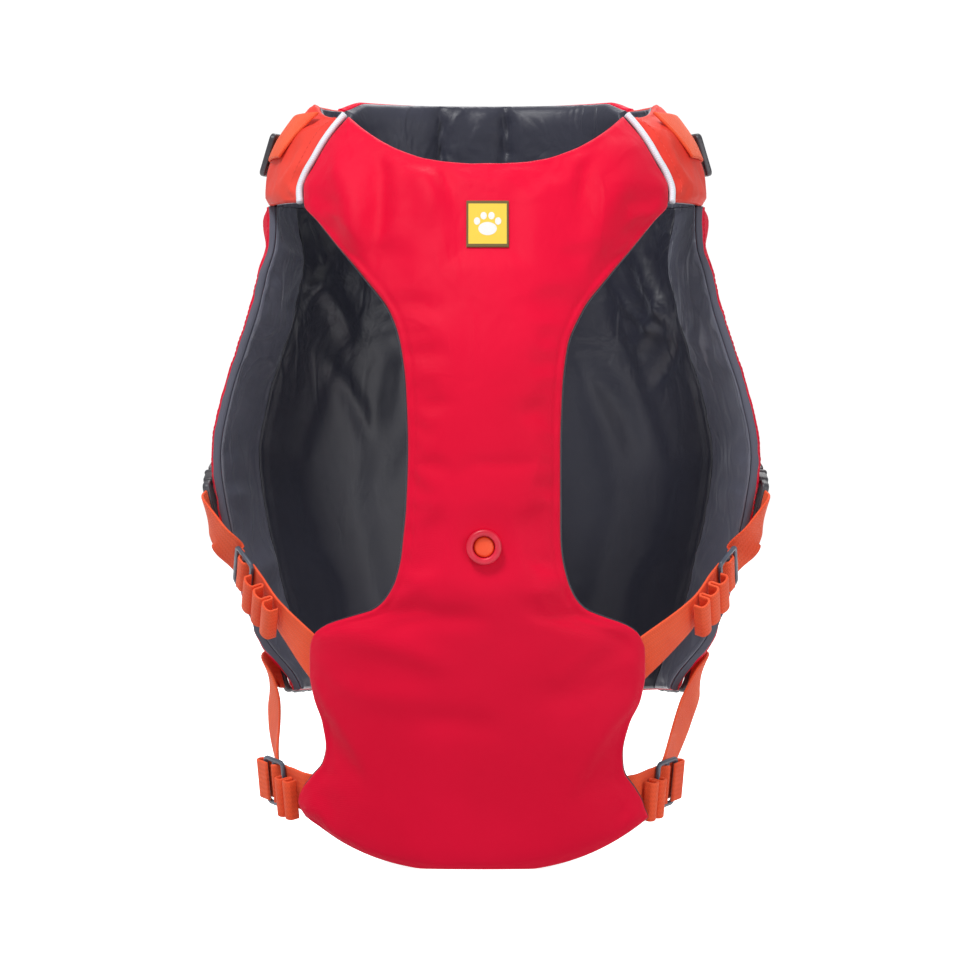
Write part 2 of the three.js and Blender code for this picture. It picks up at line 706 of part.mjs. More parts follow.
function addFrontStrap(side, suffix) {
  const buckle = bucklePlace(side, frontBuckle.angle, frontBuckle.z, frontBuckle.tilt);
  addBuckle(buckle, `front_buckle_${suffix}`);
  const exit = buckleMouth(buckle);
  const centre = mirrored(frontSliderAt, side);
  const { sewnZ, tuck } = frontStrap;
  const edgeX = bellyEdgeX(side, sewnZ);
  const along = centre.clone().sub(movedOut(bellyPoint, edgeX, sewnZ, strapUnder)).normalize();
  const sewn = sewnEnd(side, sewnZ, along, tuck);
  const slide = placeAt(centre, along, mirrored(frontSliderFaces, side));
  const across = sewn.across.clone().multiplyScalar(Math.sign(-sewn.across.z));
  const strapAcross = slide.across.clone().multiplyScalar(Math.sign(-slide.across.z));
  const straight = (distance) => centre.clone().addScaledVector(slide.along, distance);
  const keys = [
    { point: sewn.start, across },
    { point: sewn.edge, across },
    { point: straight(-46), across: strapAcross },
    { point: straight(-16), across: strapAcross },
    { point: straight(0), across: strapAcross },
    { point: straight(14), across: strapAcross },
    { point: mirrored(frontStrapTurn, side), across: strapAcross },
    { point: exit.before, across: exit.across },
    { point: exit.mouth, across: exit.across },
  ];
  const stations = threaded(stationsThrough(keys, 54), centre, slide, threadRise);
  addPiece(`front_strap_${suffix}`, bandGeometry(stations, webbingWidth, webbingThickness), orange);
  const sliderAt = centre.clone().addScaledVector(slide.out, threadRise / 2);
  addPiece(`front_slider_${suffix}`, sliderGeometry(), hardware, { ...slide, position: sliderAt });
  const tailStart = straight(-frontStrap.tailStart).addScaledVector(slide.out, tailClear);
  const tailPlace = placeAt(tailStart, slide.along.clone().negate(), slide.out);
  const tail = foldedTail(tailPlace, frontTail);
  addPiece(`front_tail_${suffix}`, bandGeometry(tail, webbingWidth, webbingThickness), orange);
}

// The rear strap: its stub is sewn on and runs out through the slider, which holds a loop of the
// strap that goes up to the buckle.
const rearStrap = { sewnZ: -241, tuck: 10, sliderReach: 31 };
const rearTail = { legs: 4, height: 4.2, turn: 3, crown: 2, tuck: 1.3 };
const rearStubRuns = new THREE.Vector3(0.55, 0.82, 0.16);
const rearSliderFaces = new THREE.Vector3(0.8, -0.55, -0.2);
const rearStrapTwist = new THREE.Vector3(0.3, 0.8, -0.5);
const rearLoop = { radius: 2.5, reach: 14, start: 4.7, footClear: 2.6 };
const rearTailStart = 10.6;
const rearTailShift = 5;

function addRearStrap(side, suffix) {
  const buckle = bucklePlace(side, rearBuckle.angle, rearBuckle.z, rearBuckle.tilt);
  addBuckle(buckle, `rear_buckle_${suffix}`);
  const exit = buckleMouth(buckle);
  const { sewnZ, tuck, sliderReach } = rearStrap;
  const along = mirrored(rearStubRuns, side).normalize();
  const sewn = sewnEnd(side, sewnZ, along, tuck);
  const centre = sewn.edge.clone().addScaledVector(along, sliderReach);
  const slide = placeAt(centre, along, mirrored(rearSliderFaces, side));
  const across = sewn.across.clone().multiplyScalar(Math.sign(-sewn.across.z));
  const slideAcross = slide.across.clone().multiplyScalar(Math.sign(-slide.across.z));
  const local = (u, w) => {
    return centre.clone().addScaledVector(slide.along, u).addScaledVector(slide.out, w);
  };
  const stub = [
    { point: sewn.start, across },
    { point: sewn.edge, across },
    { point: local(-15, 0), across: slideAcross },
    { point: local(-8, 0), across: slideAcross },
    { point: local(-1, 0), across: slideAcross },
  ];
  const stations = threaded(stationsThrough(stub, 30), local(0.9, 0), slide, threadRise);
  addPiece(`rear_stub_${suffix}`, bandGeometry(stations, webbingWidth, webbingThickness), orange);
  const sliderAt = local(0, threadRise / 2);
  addPiece(`rear_slider_${suffix}`, sliderGeometry(), hardware, { ...slide, position: sliderAt });
  const middle = threadRise / 2;
  const loop = [{ point: local(rearLoop.start, middle - rearLoop.radius), across: slideAcross }];
  for (let turn = -90; turn <= 90; turn += 30) {
    const swing = radians(turn);
    const u = rearLoop.reach + rearLoop.radius * Math.cos(swing);
    loop.push({ point: local(u, middle + rearLoop.radius * Math.sin(swing)), across: slideAcross });
  }
  loop.push({ point: local(rearLoop.start, middle + rearLoop.radius), across: slideAcross });
  addPiece(`rear_loop_${suffix}`, bandGeometry(loop, webbingWidth, webbingThickness), orange);
  const foot = local(6, middle - rearLoop.radius - webbingThickness - rearLoop.footClear);
  const rise = exit.before.clone().sub(foot).normalize();
  const keys = [
    { point: foot, across: slideAcross },
    { point: foot.clone().addScaledVector(rise, 12), across: slideAcross },
    { point: foot.clone().lerp(exit.before, 0.6), across: mirrored(rearStrapTwist, side) },
    { point: exit.before, across: exit.across },
    { point: exit.mouth, across: exit.across },
  ];
  const rising = bandGeometry(stationsThrough(keys, 24), webbingWidth, webbingThickness);
  addPiece(`rear_strap_${suffix}`, rising, orange);
  const tailStart = local(-rearTailStart, tailClear - 0.2).addScaledVector(slideAcross, rearTailShift);
  const tailPlace = placeAt(tailStart, slide.along.clone().negate(), slide.out);
  const tail = foldedTail(tailPlace, rearTail);
  addPiece(`rear_tail_${suffix}`, bandGeometry(tail, webbingWidth, webbingThickness), orange);
}

// The closure strap over the shoulder lies on the neck side panel, with its buckle behind.
const shoulderStrap = {
  upperAngle: 61, lowerAngle: 72, upperZ: 172, lowerZ: 147, endAngle: 118, thickness: 2.6,
};
const shoulderBuckle = { angle: 100, z: 151, length: 20, width: 28, thickness: 4 };
const shoulderBase = liningThickness + seamGap + neckSidePadding;
function addShoulderStrap(side, suffix) {
  const layer = (extra) => (s, t) => {
    const first = shoulderStrap.upperAngle + (shoulderStrap.lowerAngle - shoulderStrap.upperAngle) * t;
    const angle = first + (shoulderStrap.endAngle - first) * s;
    const z = shoulderStrap.upperZ + (shoulderStrap.lowerZ - shoulderStrap.upperZ) * t;
    return mirrored(movedOut(wrapPoint, angle, z, shoulderBase + strapLift + extra), side);
  };
  const strap = wallGeometry(10, 4, layer(0), layer(shoulderStrap.thickness));
  addPiece(`shoulder_strap_${suffix}`, strap, orange);
  const { angle, z, length, width, thickness } = shoulderBuckle;
  const lift = shoulderBase + strapLift + shoulderStrap.thickness + seamGap + thickness / 2;
  const at = mirrored(movedOut(wrapPoint, angle, z, lift), side);
  const out = mirrored(outwardNormal(wrapPoint, angle, z), side);
  const along = mirrored(wrapPoint(angle + 1, z).sub(wrapPoint(angle, z)), side);
  const shape = traceRounded(new THREE.Shape(), 0, length, width, 4);
  addPiece(`shoulder_buckle_${suffix}`, plateGeometry(shape, thickness), hardware, placeAt(at, along, out));
}

const eyelet = {
  x: -1, z: -87, ringRadius: 8.6, ringThickness: 2.1,
  discRadius: 6.1, discShoulder: 4.6, discEdge: 1.4, discHeight: 2.4,
};
const patch = { x: 1, z: 103.5, width: 24.4, height: 28, thickness: 0.9 };

function addEyelet() {
  const out = outwardNormal(bellyPoint, eyelet.x, eyelet.z);
  const surface = movedOut(bellyPoint, eyelet.x, eyelet.z, bellyBase + bellyPadding);
  const rightward = new THREE.Vector3(1, 0, 0);
  const ringAt = surface.clone().addScaledVector(out, eyelet.ringThickness + seamGap);
  const ring = new THREE.TorusGeometry(eyelet.ringRadius, eyelet.ringThickness, 8, 18);
  addPiece('eyelet_ring', ring, red, placeAt(ringAt, rightward, out));
  const { discRadius, discShoulder, discEdge, discHeight } = eyelet;
  const profile = [[0, 0], [discRadius, 0], [discRadius, discEdge], [discShoulder, 2.1], [0, discHeight]];
  const disc = new THREE.LatheGeometry(profile.map(([x, y]) => new THREE.Vector2(x, y)), 18);
  disc.rotateX(Math.PI / 2);
  surface.addScaledVector(out, seamGap);
  addPiece('eyelet_disc', disc, orange, placeAt(surface, rightward, out));
}

function addPatch() {
  const layer = (lift) => (s, t) => {
    const x = patch.x + (s - 0.5) * patch.width;
    return movedOut(bellyPoint, x, patch.z + (t - 0.5) * patch.height, bellyBase + bellyPadding + lift);
  };
  addPiece('chest_patch', wallGeometry(4, 4, layer(seamGap), layer(seamGap + patch.thickness)), yellow);
}

addBack();
addCollar();
addBelly();
addEyelet();
addPatch();
for (const [side, suffix] of [[-1, 'left'], [1, 'right']]) {
  addFlank(side, suffix);
  addNeckSide(side, suffix);
  addPiping(side, suffix);
  addShoulderStrap(side, suffix);
  addFrontStrap(side, suffix);
  addRearStrap(side, suffix);
}
addGirthBand('girth_webbing_front', frontBuckle);
addGirthBand('girth_webbing_rear', rearBuckle);

export default jacket;
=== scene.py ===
import bpy
import numpy as np
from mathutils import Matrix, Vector


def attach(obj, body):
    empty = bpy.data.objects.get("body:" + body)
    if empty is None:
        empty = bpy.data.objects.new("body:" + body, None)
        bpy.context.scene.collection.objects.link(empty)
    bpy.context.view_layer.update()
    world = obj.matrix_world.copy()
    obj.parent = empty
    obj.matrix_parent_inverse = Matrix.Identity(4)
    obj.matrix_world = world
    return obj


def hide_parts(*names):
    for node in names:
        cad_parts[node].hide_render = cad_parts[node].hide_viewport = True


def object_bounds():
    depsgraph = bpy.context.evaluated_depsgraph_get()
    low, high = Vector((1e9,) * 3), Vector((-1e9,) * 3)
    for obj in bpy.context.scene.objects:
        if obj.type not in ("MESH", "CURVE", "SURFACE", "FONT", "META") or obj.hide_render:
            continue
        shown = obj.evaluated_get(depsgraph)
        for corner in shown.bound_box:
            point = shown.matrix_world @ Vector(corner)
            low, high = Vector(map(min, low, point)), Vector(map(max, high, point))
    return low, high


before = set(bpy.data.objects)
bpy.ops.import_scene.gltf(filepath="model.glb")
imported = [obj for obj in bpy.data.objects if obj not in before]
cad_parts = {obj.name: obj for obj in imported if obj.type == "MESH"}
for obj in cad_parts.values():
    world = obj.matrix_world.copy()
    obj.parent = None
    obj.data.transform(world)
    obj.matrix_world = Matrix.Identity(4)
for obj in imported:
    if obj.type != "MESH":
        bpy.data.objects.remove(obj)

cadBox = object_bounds()
print("frame loaded with", len(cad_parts), "nodes")

# Lengths are in millimetres up to makePiece, which turns them into metres.

class Value:
    # one output of a material's nodes; sums and products of it add Math nodes
    def __init__(self, finish, socket):
        self.finish, self.socket = finish, socket

    def math(self, operation, *terms):
        return self.finish.node("ShaderNodeMath", {"operation": operation}, dict(enumerate(terms)))

    def __add__(self, other): return self.math("ADD", self, other)
    def __radd__(self, other): return self.math("ADD", other, self)
    def __sub__(self, other): return self.math("SUBTRACT", self, other)
    def __rsub__(self, other): return self.math("SUBTRACT", other, self)
    def __mul__(self, other): return self.math("MULTIPLY", self, other)
    def __rmul__(self, other): return self.math("MULTIPLY", other, self)
    def __truediv__(self, other): return self.math("DIVIDE", self, other)
    def __pow__(self, other): return self.math("POWER", self, other)
    def __abs__(self): return self.math("ABSOLUTE", self)

    def sine(self, pitch):
        return self.math("SINE", self * (2 * np.pi / pitch))

    def smooth(self, low, high):
        return self.finish.node("ShaderNodeMapRange", {"interpolation_type": "SMOOTHSTEP"},
                                {0: self, 1: low, 2: high, 3: 0.0, 4: 1.0})


class Finish:
    # a material while it is put together
    def __init__(self, name, surface):
        self.material = bpy.data.materials.new(name)
        self.material.use_nodes = True
        self.tree = self.material.node_tree
        self.shader = self.tree.nodes["Principled BSDF"]
        for socket, value in surface.items():
            self.put(self.shader.inputs[socket], value)

    def put(self, socket, value):
        if isinstance(value, Value):
            self.tree.links.new(value.socket, socket)
        elif isinstance(value, tuple) and socket.type == "RGBA":
            socket.default_value = (*value, 1)
        else:
            socket.default_value = value

    def node(self, kind, settings=None, sockets=None, output=0):
        made = self.tree.nodes.new(kind)
        for name, value in (settings or {}).items():
            setattr(made, name, value)
        for socket, value in (sockets or {}).items():
            self.put(made.inputs[socket], value)
        return Value(self, made.outputs[output])

    def mix(self, share, first, second, blend="MIX"):
        return self.node("ShaderNodeMix", {"data_type": "RGBA", "blend_type": blend},
                         {0: share, 6: first, 7: second}, 2)

    def noise(self, size, detail=3.0, roughness=0.5, distortion=0.0, stretch=(1, 1, 1)):
        # cloudy noise whose patches are about that many millimetres across
        place = self.node("ShaderNodeTexCoord", output="Object")
        if stretch != (1, 1, 1):
            place = self.node("ShaderNodeMapping", None, {"Vector": place, "Scale": stretch})
        return self.node("ShaderNodeTexNoise", None,
                         {"Vector": place, "Scale": 1000 / size, "Detail": detail,
                          "Roughness": roughness, "Distortion": distortion})

    def threads(self):
        # the piece's own map, in millimetres across and along
        place = self.node("ShaderNodeUVMap", {"uv_map": "cut"})
        parts = self.node("ShaderNodeSeparateXYZ", None, {0: place})
        along = Value(self, parts.socket.node.outputs[1])
        return parts * 1000.0, along * 1000.0

    def level(self):
        # how high on the jacket, in millimetres
        return self.node("ShaderNodeSeparateXYZ", None,
                         {0: self.node("ShaderNodeTexCoord", output="Object")}, 2) * 1000.0

    def colour(self, value):
        self.put(self.shader.inputs["Base Color"], value)

    def rough(self, value):
        self.put(self.shader.inputs["Roughness"], value)

    def height(self, value):
        # value is a height in millimetres
        bump = self.node("ShaderNodeBump", None, {"Strength": 1.0, "Distance": 0.001, "Height": value})
        self.put(self.shader.inputs["Normal"], bump)


def shade(red, green, blue):
    # an 8 bit screen colour as the shader's linear one
    value = np.array([red, green, blue]) / 255
    linear = np.where(value <= 0.04045, value / 12.92, ((value + 0.055) / 1.055) ** 2.4)
    return tuple(float(x) for x in linear)


def clothFinish(name, look, facing=0.0):
    # plain weave: the height is the sine across times the sine along, over soft creases and
    # crinkles that are strongest high up; a facing turns the first millimetres to the lining's grey, in its
    # lightest copy as painted light
    finish = Finish(name, {"Sheen Weight": look["sheen"], "Sheen Roughness": 0.45,
                           "Sheen Tint": look["sheenTint"], "Specular IOR Level": look["gloss"]})
    across, along = finish.threads()
    weave = across.sine(look["thread"]) * along.sine(look["thread"])
    slub = finish.noise(look["thread"] * 3, 2.0)
    busy = finish.level().smooth(*look["busyFrom"]) * (1 - look["calm"]) + look["calm"]
    creases = finish.noise(look["creaseSize"], 3.0, 0.5, 0.6)
    cloud = finish.noise(look["creaseSize"] * 1.4, 2.0, 0.45, 1.0, look["lean"])
    ridges = 1 - abs(cloud - 0.5).smooth(0.0, 0.09)
    patches = finish.noise(90, 2.0)
    tone = finish.mix(patches.smooth(0.3, 0.7), look["deep"], look["light"])
    tone = finish.mix((weave * 0.5 + 0.5) * look["threadTone"], tone, look["deep"])
    if facing:
        # painted light: the facing takes the lining's grey in its lit copy
        tone = finish.mix(1 - across.smooth(facing - 0.3, facing + 0.3), tone, shade(96, 97, 110))
    finish.colour(tone)
    finish.rough(look["rough"] + slub * 0.12 - 0.06)
    finish.height(weave * look["weaveRise"] + slub * (look["weaveRise"] * 0.8)
                  + busy * (creases * look["creaseRise"] + ridges * look["ridgeRise"]))
    return finish.material


redLook = {"deep": shade(222, 4, 50), "light": shade(230, 6, 54), "sheenTint": (1.0, 0.4, 0.45),
           "sheen": 0.03, "gloss": 0.1, "rough": 0.5, "thread": 0.9, "threadTone": 0.12,
           "weaveRise": 0.03, "creaseSize": 40, "creaseRise": 1.8, "ridgeRise": 0.25, "lean": (1, 1, 0.6),
           "calm": 0.25, "busyFrom": (-40, 60)}
coralLook = {**redLook, "deep": shade(226, 62, 52), "light": shade(240, 76, 64), "sheenTint": (1.0, 0.6, 0.5),
             "calm": 0.4}
# painted light and shade: the lining is one dark grey cloth in three copies, darkest inside the back and
# belly as painted shade, lightest on the flanks and neck sides as painted light and sheen, and between the
# two on the collar
greyLook = {"deep": shade(28, 29, 43), "light": shade(38, 39, 53), "sheenTint": (0.85, 0.88, 1.0),
            "sheen": 0.16, "gloss": 0.5, "rough": 0.38, "thread": 0.8, "threadTone": 0.15,
            "weaveRise": 0.02, "creaseSize": 26, "creaseRise": 2.6, "ridgeRise": 0.5, "lean": (1, 1, 0.5),
            "calm": 0.1, "busyFrom": (-20, 70)}
litLiningLook = {**greyLook, "deep": shade(76, 77, 91), "light": shade(96, 97, 112), "sheen": 0.28, "gloss": 0.6,
             "rough": 0.34, "calm": 0.3, "creaseRise": 2.4, "ridgeRise": 1.1}
collarLook = {**litLiningLook, "deep": shade(44, 45, 58), "light": shade(60, 61, 74), "gloss": 0.3,
              "ridgeRise": 0.4, "creaseRise": 1.8}


def webbingFinish(name, look):
    # ribs run across and lean to a chevron: the sine along is pushed by the distance from the middle; the low
    # parts between ribs and cords take the groove colour as painted shade
    finish = Finish(name, {"Sheen Weight": 0.15, "Sheen Roughness": 0.5, "Sheen Tint": (1.0, 0.7, 0.5),
                           "Specular IOR Level": 0.3})
    across, along = finish.threads()
    lean = abs(across.math("PINGPONG", across, look["ribWidth"]) - look["ribWidth"] / 2) * 0.8
    ribs = (along + lean).sine(look["rib"])
    cords = across.sine(look["ribWidth"])
    fuzz = finish.noise(1.6, 3.0, 0.6)
    wear = finish.noise(30, 2.0)
    weave = ribs * 0.6 + cords * 0.4
    tone = finish.mix(wear.smooth(0.3, 0.7), look["deep"], look["light"])
    # painted shade: the weave's low parts mix towards the darker groove colour
    tone = finish.mix((0.5 - weave * 0.5) * 0.3, tone, look["groove"])
    finish.colour(tone)
    finish.rough(0.6 + fuzz * 0.14)
    finish.height(weave * 0.11 + fuzz * 0.05)
    return finish.material


def mouldedFinish(name, look):
    # fine moulded grain, a little shinier where it is rubbed
    finish = Finish(name, {"Specular IOR Level": 0.5})
    grain = finish.noise(0.7, 2.0)
    rubbed = finish.noise(14, 3.0)
    finish.colour(finish.mix(rubbed.smooth(0.4, 0.75), look["deep"], look["light"]))
    finish.rough(look["rough"] + rubbed * 0.16 - 0.08)
    finish.height(grain * 0.02 + rubbed * 0.06)
    return finish.material


def pipingFinish():
    # a bright cord wrapped on the slant, darker between its wraps as painted shade
    finish = Finish("pipingCord", {"Specular IOR Level": 0.6, "Sheen Weight": 0.2})
    across, along = finish.threads()
    wraps = (along + across * 0.6).sine(1.3)
    finish.colour(finish.mix((0.5 - wraps * 0.5) * 0.35, shade(232, 236, 244), shade(176, 184, 200)))
    finish.rough(0.42 + finish.noise(2.0) * 0.1)
    finish.height(wraps * 0.07)
    return finish.material


finishes = {
    "red": clothFinish("redNylon", redLook),
    "coral": clothFinish("coralNylon", coralLook),
    # the three lining finishes are one cloth with painted shade, painted light and a tone between, as set out
    # at their looks
    "grey": clothFinish("greyLining", greyLook),
    "litLining": clothFinish("liningPaintedLight", litLiningLook),
    "collarLiningTone": clothFinish("collarLining", collarLook),
    "redFaced": clothFinish("redNylonFaced", redLook, 3.4),
    "webbing": webbingFinish("orangeWebbing", {
        # the groove colour is painted shade between the ribs
        "deep": shade(244, 82, 40), "light": shade(254, 98, 54), "groove": shade(196, 44, 24),
        "rib": 1.5, "ribWidth": 3.1}),
    "piping": pipingFinish(),
    "slider": mouldedFinish("sliderPlastic", {
        "deep": shade(72, 78, 92), "light": shade(96, 104, 120), "rough": 0.36}),
    "buckle": mouldedFinish("bucklePlastic", {
        "deep": shade(54, 54, 60), "light": shade(74, 74, 82), "rough": 0.42}),
    "ring": mouldedFinish("ringRubber", {
        "deep": shade(206, 12, 48), "light": shade(230, 24, 62), "rough": 0.4}),
    "disc": mouldedFinish("discRubber", {
        "deep": shade(246, 76, 26), "light": shade(254, 96, 44), "rough": 0.45}),
    "redThread": mouldedFinish("redThread", {
        "deep": shade(196, 8, 46), "light": shade(222, 22, 62), "rough": 0.6}),
    "coralThread": mouldedFinish("coralThread", {
        "deep": shade(222, 54, 42), "light": shade(240, 76, 58), "rough": 0.6}),
}
print("finishes made:", len(finishes))


def column(table, name, z):
    # a smooth curve through a table's rows that never overshoots: the slope at a row is the
    # harmonic mean of the slopes beside it, and a cubic joins two rows
    rows, values = np.array(table["z"], float), np.array(table[name], float)
    rise = np.diff(values) / np.diff(rows)
    same = rise[:-1] * rise[1:] > 0
    total = np.where(same, rise[:-1] + rise[1:], 1)
    slope = np.concatenate([rise[:1], np.where(same, 2 * rise[:-1] * rise[1:] / total, 0), rise[-1:]])
    z = np.clip(z, rows[0], rows[-1])
    row = np.clip(np.searchsorted(rows, z, side="right") - 1, 0, len(rows) - 2)
    span = rows[row + 1] - rows[row]
    t = (z - rows[row]) / span
    ease = t * t * (3 - 2 * t)
    return (values[row] + (values[row + 1] - values[row]) * ease
            + (t ** 3 - 2 * t * t + t) * span * slope[row] + (t ** 3 - t * t) * span * slope[row + 1])


def smoothstep(x, low, high):
    # rises from 0 to 1 by three times the share's square less twice its cube
    t = np.clip((x - low) / (high - low), 0, 1)
    return t * t * (3 - 2 * t)


def unit(vectors):
    return vectors / np.linalg.norm(vectors, axis=-1, keepdims=True)


def outward(surface, a, b):
    # the cross product of the surface's two slopes
    step = 0.05
    across = surface(a + step, b) - surface(a - step, b)
    along = surface(a, b + step) - surface(a, b - step)
    return unit(np.cross(across, along))


def lifted(surface, a, b, height):
    # a surface's point, moved out along its normal
    return surface(a, b) + outward(surface, a, b) * np.asarray(height, float)[..., None]


def mirrored(points, side):
    # to the left of the picture for side -1
    return np.asarray(points, float) * np.array([side, 1, 1])


def spaced(length, pitch):
    # shares of a length, close together at both ends so that an edge can round
    near = np.array([0, 0.25, 0.8, 1.7, 3.0])
    middle = np.linspace(4.8, length - 4.8, max(int((length - 9.6) / pitch), 2) + 1)
    return np.concatenate([near, middle, length - near[::-1]]) / length


def ripple(points, size, seed, waves=9):
    # soft unevenness: the mean of sine waves of about one length in seeded directions
    chance = np.random.default_rng(seed)
    ways = unit(chance.normal(size=(waves, 3))) / (size * chance.uniform(0.7, 1.5, (waves, 1)))
    return np.sin(points @ (2 * np.pi * ways.T) + chance.uniform(0, 6.28, waves)).mean(-1) * 1.6


def foldHeight(x, z, folds):
    # each fold is a bell across its line, which bows in the middle and fades at its ends
    height = np.zeros(np.broadcast(x, z).shape)
    for x0, z0, x1, z1, bow, width, rise in zip(*folds.values()):
        run = np.hypot(x1 - x0, z1 - z0)
        wayX, wayZ = (x1 - x0) / run, (z1 - z0) / run
        share = ((x - x0) * wayX + (z - z0) * wayZ) / run
        beside = (z - z0) * wayX - (x - x0) * wayZ - bow * 4 * share * (1 - share)
        fade = smoothstep(share, -0.15, 0.3) * (1 - smoothstep(share, 0.7, 1.15))
        height += rise * fade * np.exp(-(beside / width) ** 2)
    return height


def fromBorder(points):
    # how far each point of a grid is from its nearest side, along the grid's own lines
    across = np.cumsum(np.linalg.norm(np.diff(points, axis=1, prepend=points[:, :1]), axis=-1), axis=1)
    along = np.cumsum(np.linalg.norm(np.diff(points, axis=0, prepend=points[:1]), axis=-1), axis=0)
    sides = np.minimum(across, across[:, -1:] - across)
    ends = np.minimum(along, along[-1:] - along)
    return sides, ends, across, along


def padding(edge, full, distance, rise=16.0):
    # a quarter ellipse up from the edge's thickness to the full one
    t = np.clip(distance / rise, 0, 1)
    return edge + (full - edge) * np.sqrt(1 - (1 - t) ** 2)


def roundness(distance, radius):
    # a quarter circle that rounds an edge off
    t = np.clip(distance / radius, 0, 1)
    return np.maximum(np.sqrt(1 - (1 - t) ** 2), 0.1)


def volumeOf(points, quads):
    a, b, c, d = (points[quads[:, i]] for i in range(4))
    return float((a * (np.cross(b, c) + np.cross(c, d))).sum())


def makePiece(name, points, quads, cut, finish, caps=()):
    # a mesh of quads and end caps; cut holds each point's place in the flat piece
    if volumeOf(points - points.mean(0), quads) < 0:
        quads, caps = quads[:, ::-1], [cap[::-1] for cap in caps]
    mesh = bpy.data.meshes.new(name)
    mesh.from_pydata((points * 0.001).tolist(), [], quads.tolist() + [list(cap) for cap in caps])
    corners = np.zeros(len(mesh.loops), np.int32)
    mesh.loops.foreach_get("vertex_index", corners)
    layer = mesh.uv_layers.new(name="cut")
    layer.data.foreach_set("uv", (cut[corners] * 0.001).astype(np.float32).ravel())
    mesh.polygons.foreach_set("use_smooth", np.ones(len(mesh.polygons), bool))
    mesh.materials.append(finishes[finish])
    mesh.validate()
    mesh.update()
    piece = bpy.data.objects.new(name, mesh)
    bpy.context.scene.collection.objects.link(piece)
    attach(piece, "root")
    return piece


def gridQuads(index):
    return np.stack([index[:-1, :-1], index[:-1, 1:], index[1:, 1:], index[1:, :-1]], -1).reshape(-1, 4)


def shellPiece(name, inner, outer, finish, middle=0.5):
    # two grids of points, joined round their border; the map across is measured from its middle share
    rows, cols = inner.shape[:2]
    count = rows * cols
    index = np.arange(count).reshape(rows, cols)
    flat = gridQuads(index)
    rim = np.concatenate([index[0, :-1], index[:-1, -1], index[-1, :0:-1], index[:0:-1, 0]])
    after = np.roll(rim, -1)
    edge = np.stack([rim, after, after + count, rim + count], -1)
    quads = np.concatenate([flat[:, ::-1], flat + count, edge])
    _, _, across, along = fromBorder(outer)
    across, along = across - across[:, -1:] * middle, along - along[-1:] / 2
    cut = np.stack([across, along], -1).reshape(-1, 2)
    points = np.concatenate([inner.reshape(-1, 3), outer.reshape(-1, 3)])
    return makePiece(name, points, quads, np.concatenate([cut, cut]), finish)


def easedSheet(name, bottom, top, radius, finish, side=1):
    # a flat layer between two grids, both drawn to its middle by a quarter circle at the border
    middle = (bottom + top) / 2
    sides, ends, _, _ = fromBorder(top)
    ease = roundness(np.minimum(sides, ends), radius)[..., None]
    return shellPiece(name, mirrored(middle + (bottom - middle) * ease, side),
                      mirrored(middle + (top - middle) * ease, side), finish)


def softened(shares, coarse):
    # weights that read a field of evenly spaced values at any share, through a cubic bell
    distance = np.abs(shares[:, None] * (coarse - 1) - np.arange(coarse)[None, :])
    near = (2 / 3 - distance ** 2 + distance ** 3 / 2) * (distance < 1)
    far = np.clip(2 - distance, 0, 1) ** 3 / 6 * (distance >= 1)
    weight = near + far
    return weight / weight.sum(1, keepdims=True)


def settled(faceAt, across, along, cloth):
    # a face as cloth held at its border, cut a little larger than its frame and pushed out by its
    # filling; gives how far each point moves from where the pattern puts it
    start = faceAt(np.linspace(0, 1, cloth["cols"]), np.linspace(0, 1, cloth["rows"]))
    rows, cols = start.shape[:2]
    index = np.arange(rows * cols).reshape(rows, cols)
    mesh = bpy.data.meshes.new("settling")
    mesh.from_pydata((start.reshape(-1, 3) * 0.001).tolist(), [], gridQuads(index).tolist())
    piece = bpy.data.objects.new("settling", mesh)
    bpy.context.scene.collection.objects.link(piece)
    held = piece.vertex_groups.new(name="held")
    border = np.concatenate([index[0], index[-1], index[1:-1, 0], index[1:-1, -1]])
    held.add(border.tolist(), 1.0, "REPLACE")
    modifier = piece.modifiers.new("cloth", "CLOTH")
    setting = modifier.settings
    setting.quality = 6
    setting.vertex_group_mass = "held"
    setting.use_pressure = True
    setting.uniform_pressure_force = cloth["pressure"]
    setting.shrink_min = setting.shrink_max = -cloth["spare"]
    setting.bending_stiffness = cloth["stiffness"]
    setting.effector_weights.gravity = 0
    modifier.collision_settings.use_collision = False
    modifier.collision_settings.use_self_collision = False
    modifier.point_cache.frame_start, modifier.point_cache.frame_end = 1, 24
    for step in range(1, cloth["steps"] + 1):
        bpy.context.scene.frame_set(step)
    shown = piece.evaluated_get(bpy.context.evaluated_depsgraph_get())
    end = np.zeros(rows * cols * 3, np.float32)
    shown.data.vertices.foreach_get("co", end)
    move = end.reshape(rows, cols, 3) * 1000.0 - start
    length = np.linalg.norm(move, axis=-1, keepdims=True)
    move *= cloth["most"] * np.tanh(length / cloth["most"]) / np.maximum(length, 1e-6)
    bpy.data.objects.remove(piece)
    bpy.context.scene.frame_set(1)
    return np.einsum("ri,ijk,cj->rck", softened(along, rows), move, softened(across, cols))


bodyForm = {
    "z": [-300, -240, -181, -140, -106, -62, -35, 0, 30, 60, 90, 122, 140, 155, 168, 177, 192],
    "halfWidth": [104, 107, 116, 132, 142, 152, 155, 149, 139.5, 130.5, 125.5, 130, 128, 123, 115, 108, 98],
    "spineY": [-20, -14, -8, -4, -1, 0, 0, 0, 0, 1, 3, 5, 7, 9, 10, 11, 12],
    "bellyY": [-184, -199, -214, -224, -231, -232, -231, -228, -223, -214, -203, -189, -179, -170,
               -161, -154, -144],
    "bellyHalfWidth": [150, 150, 150, 150, 152, 156, 158, 156.5, 147.5, 138, 131, 130, 128, 123,
                       115, 108, 98],
}


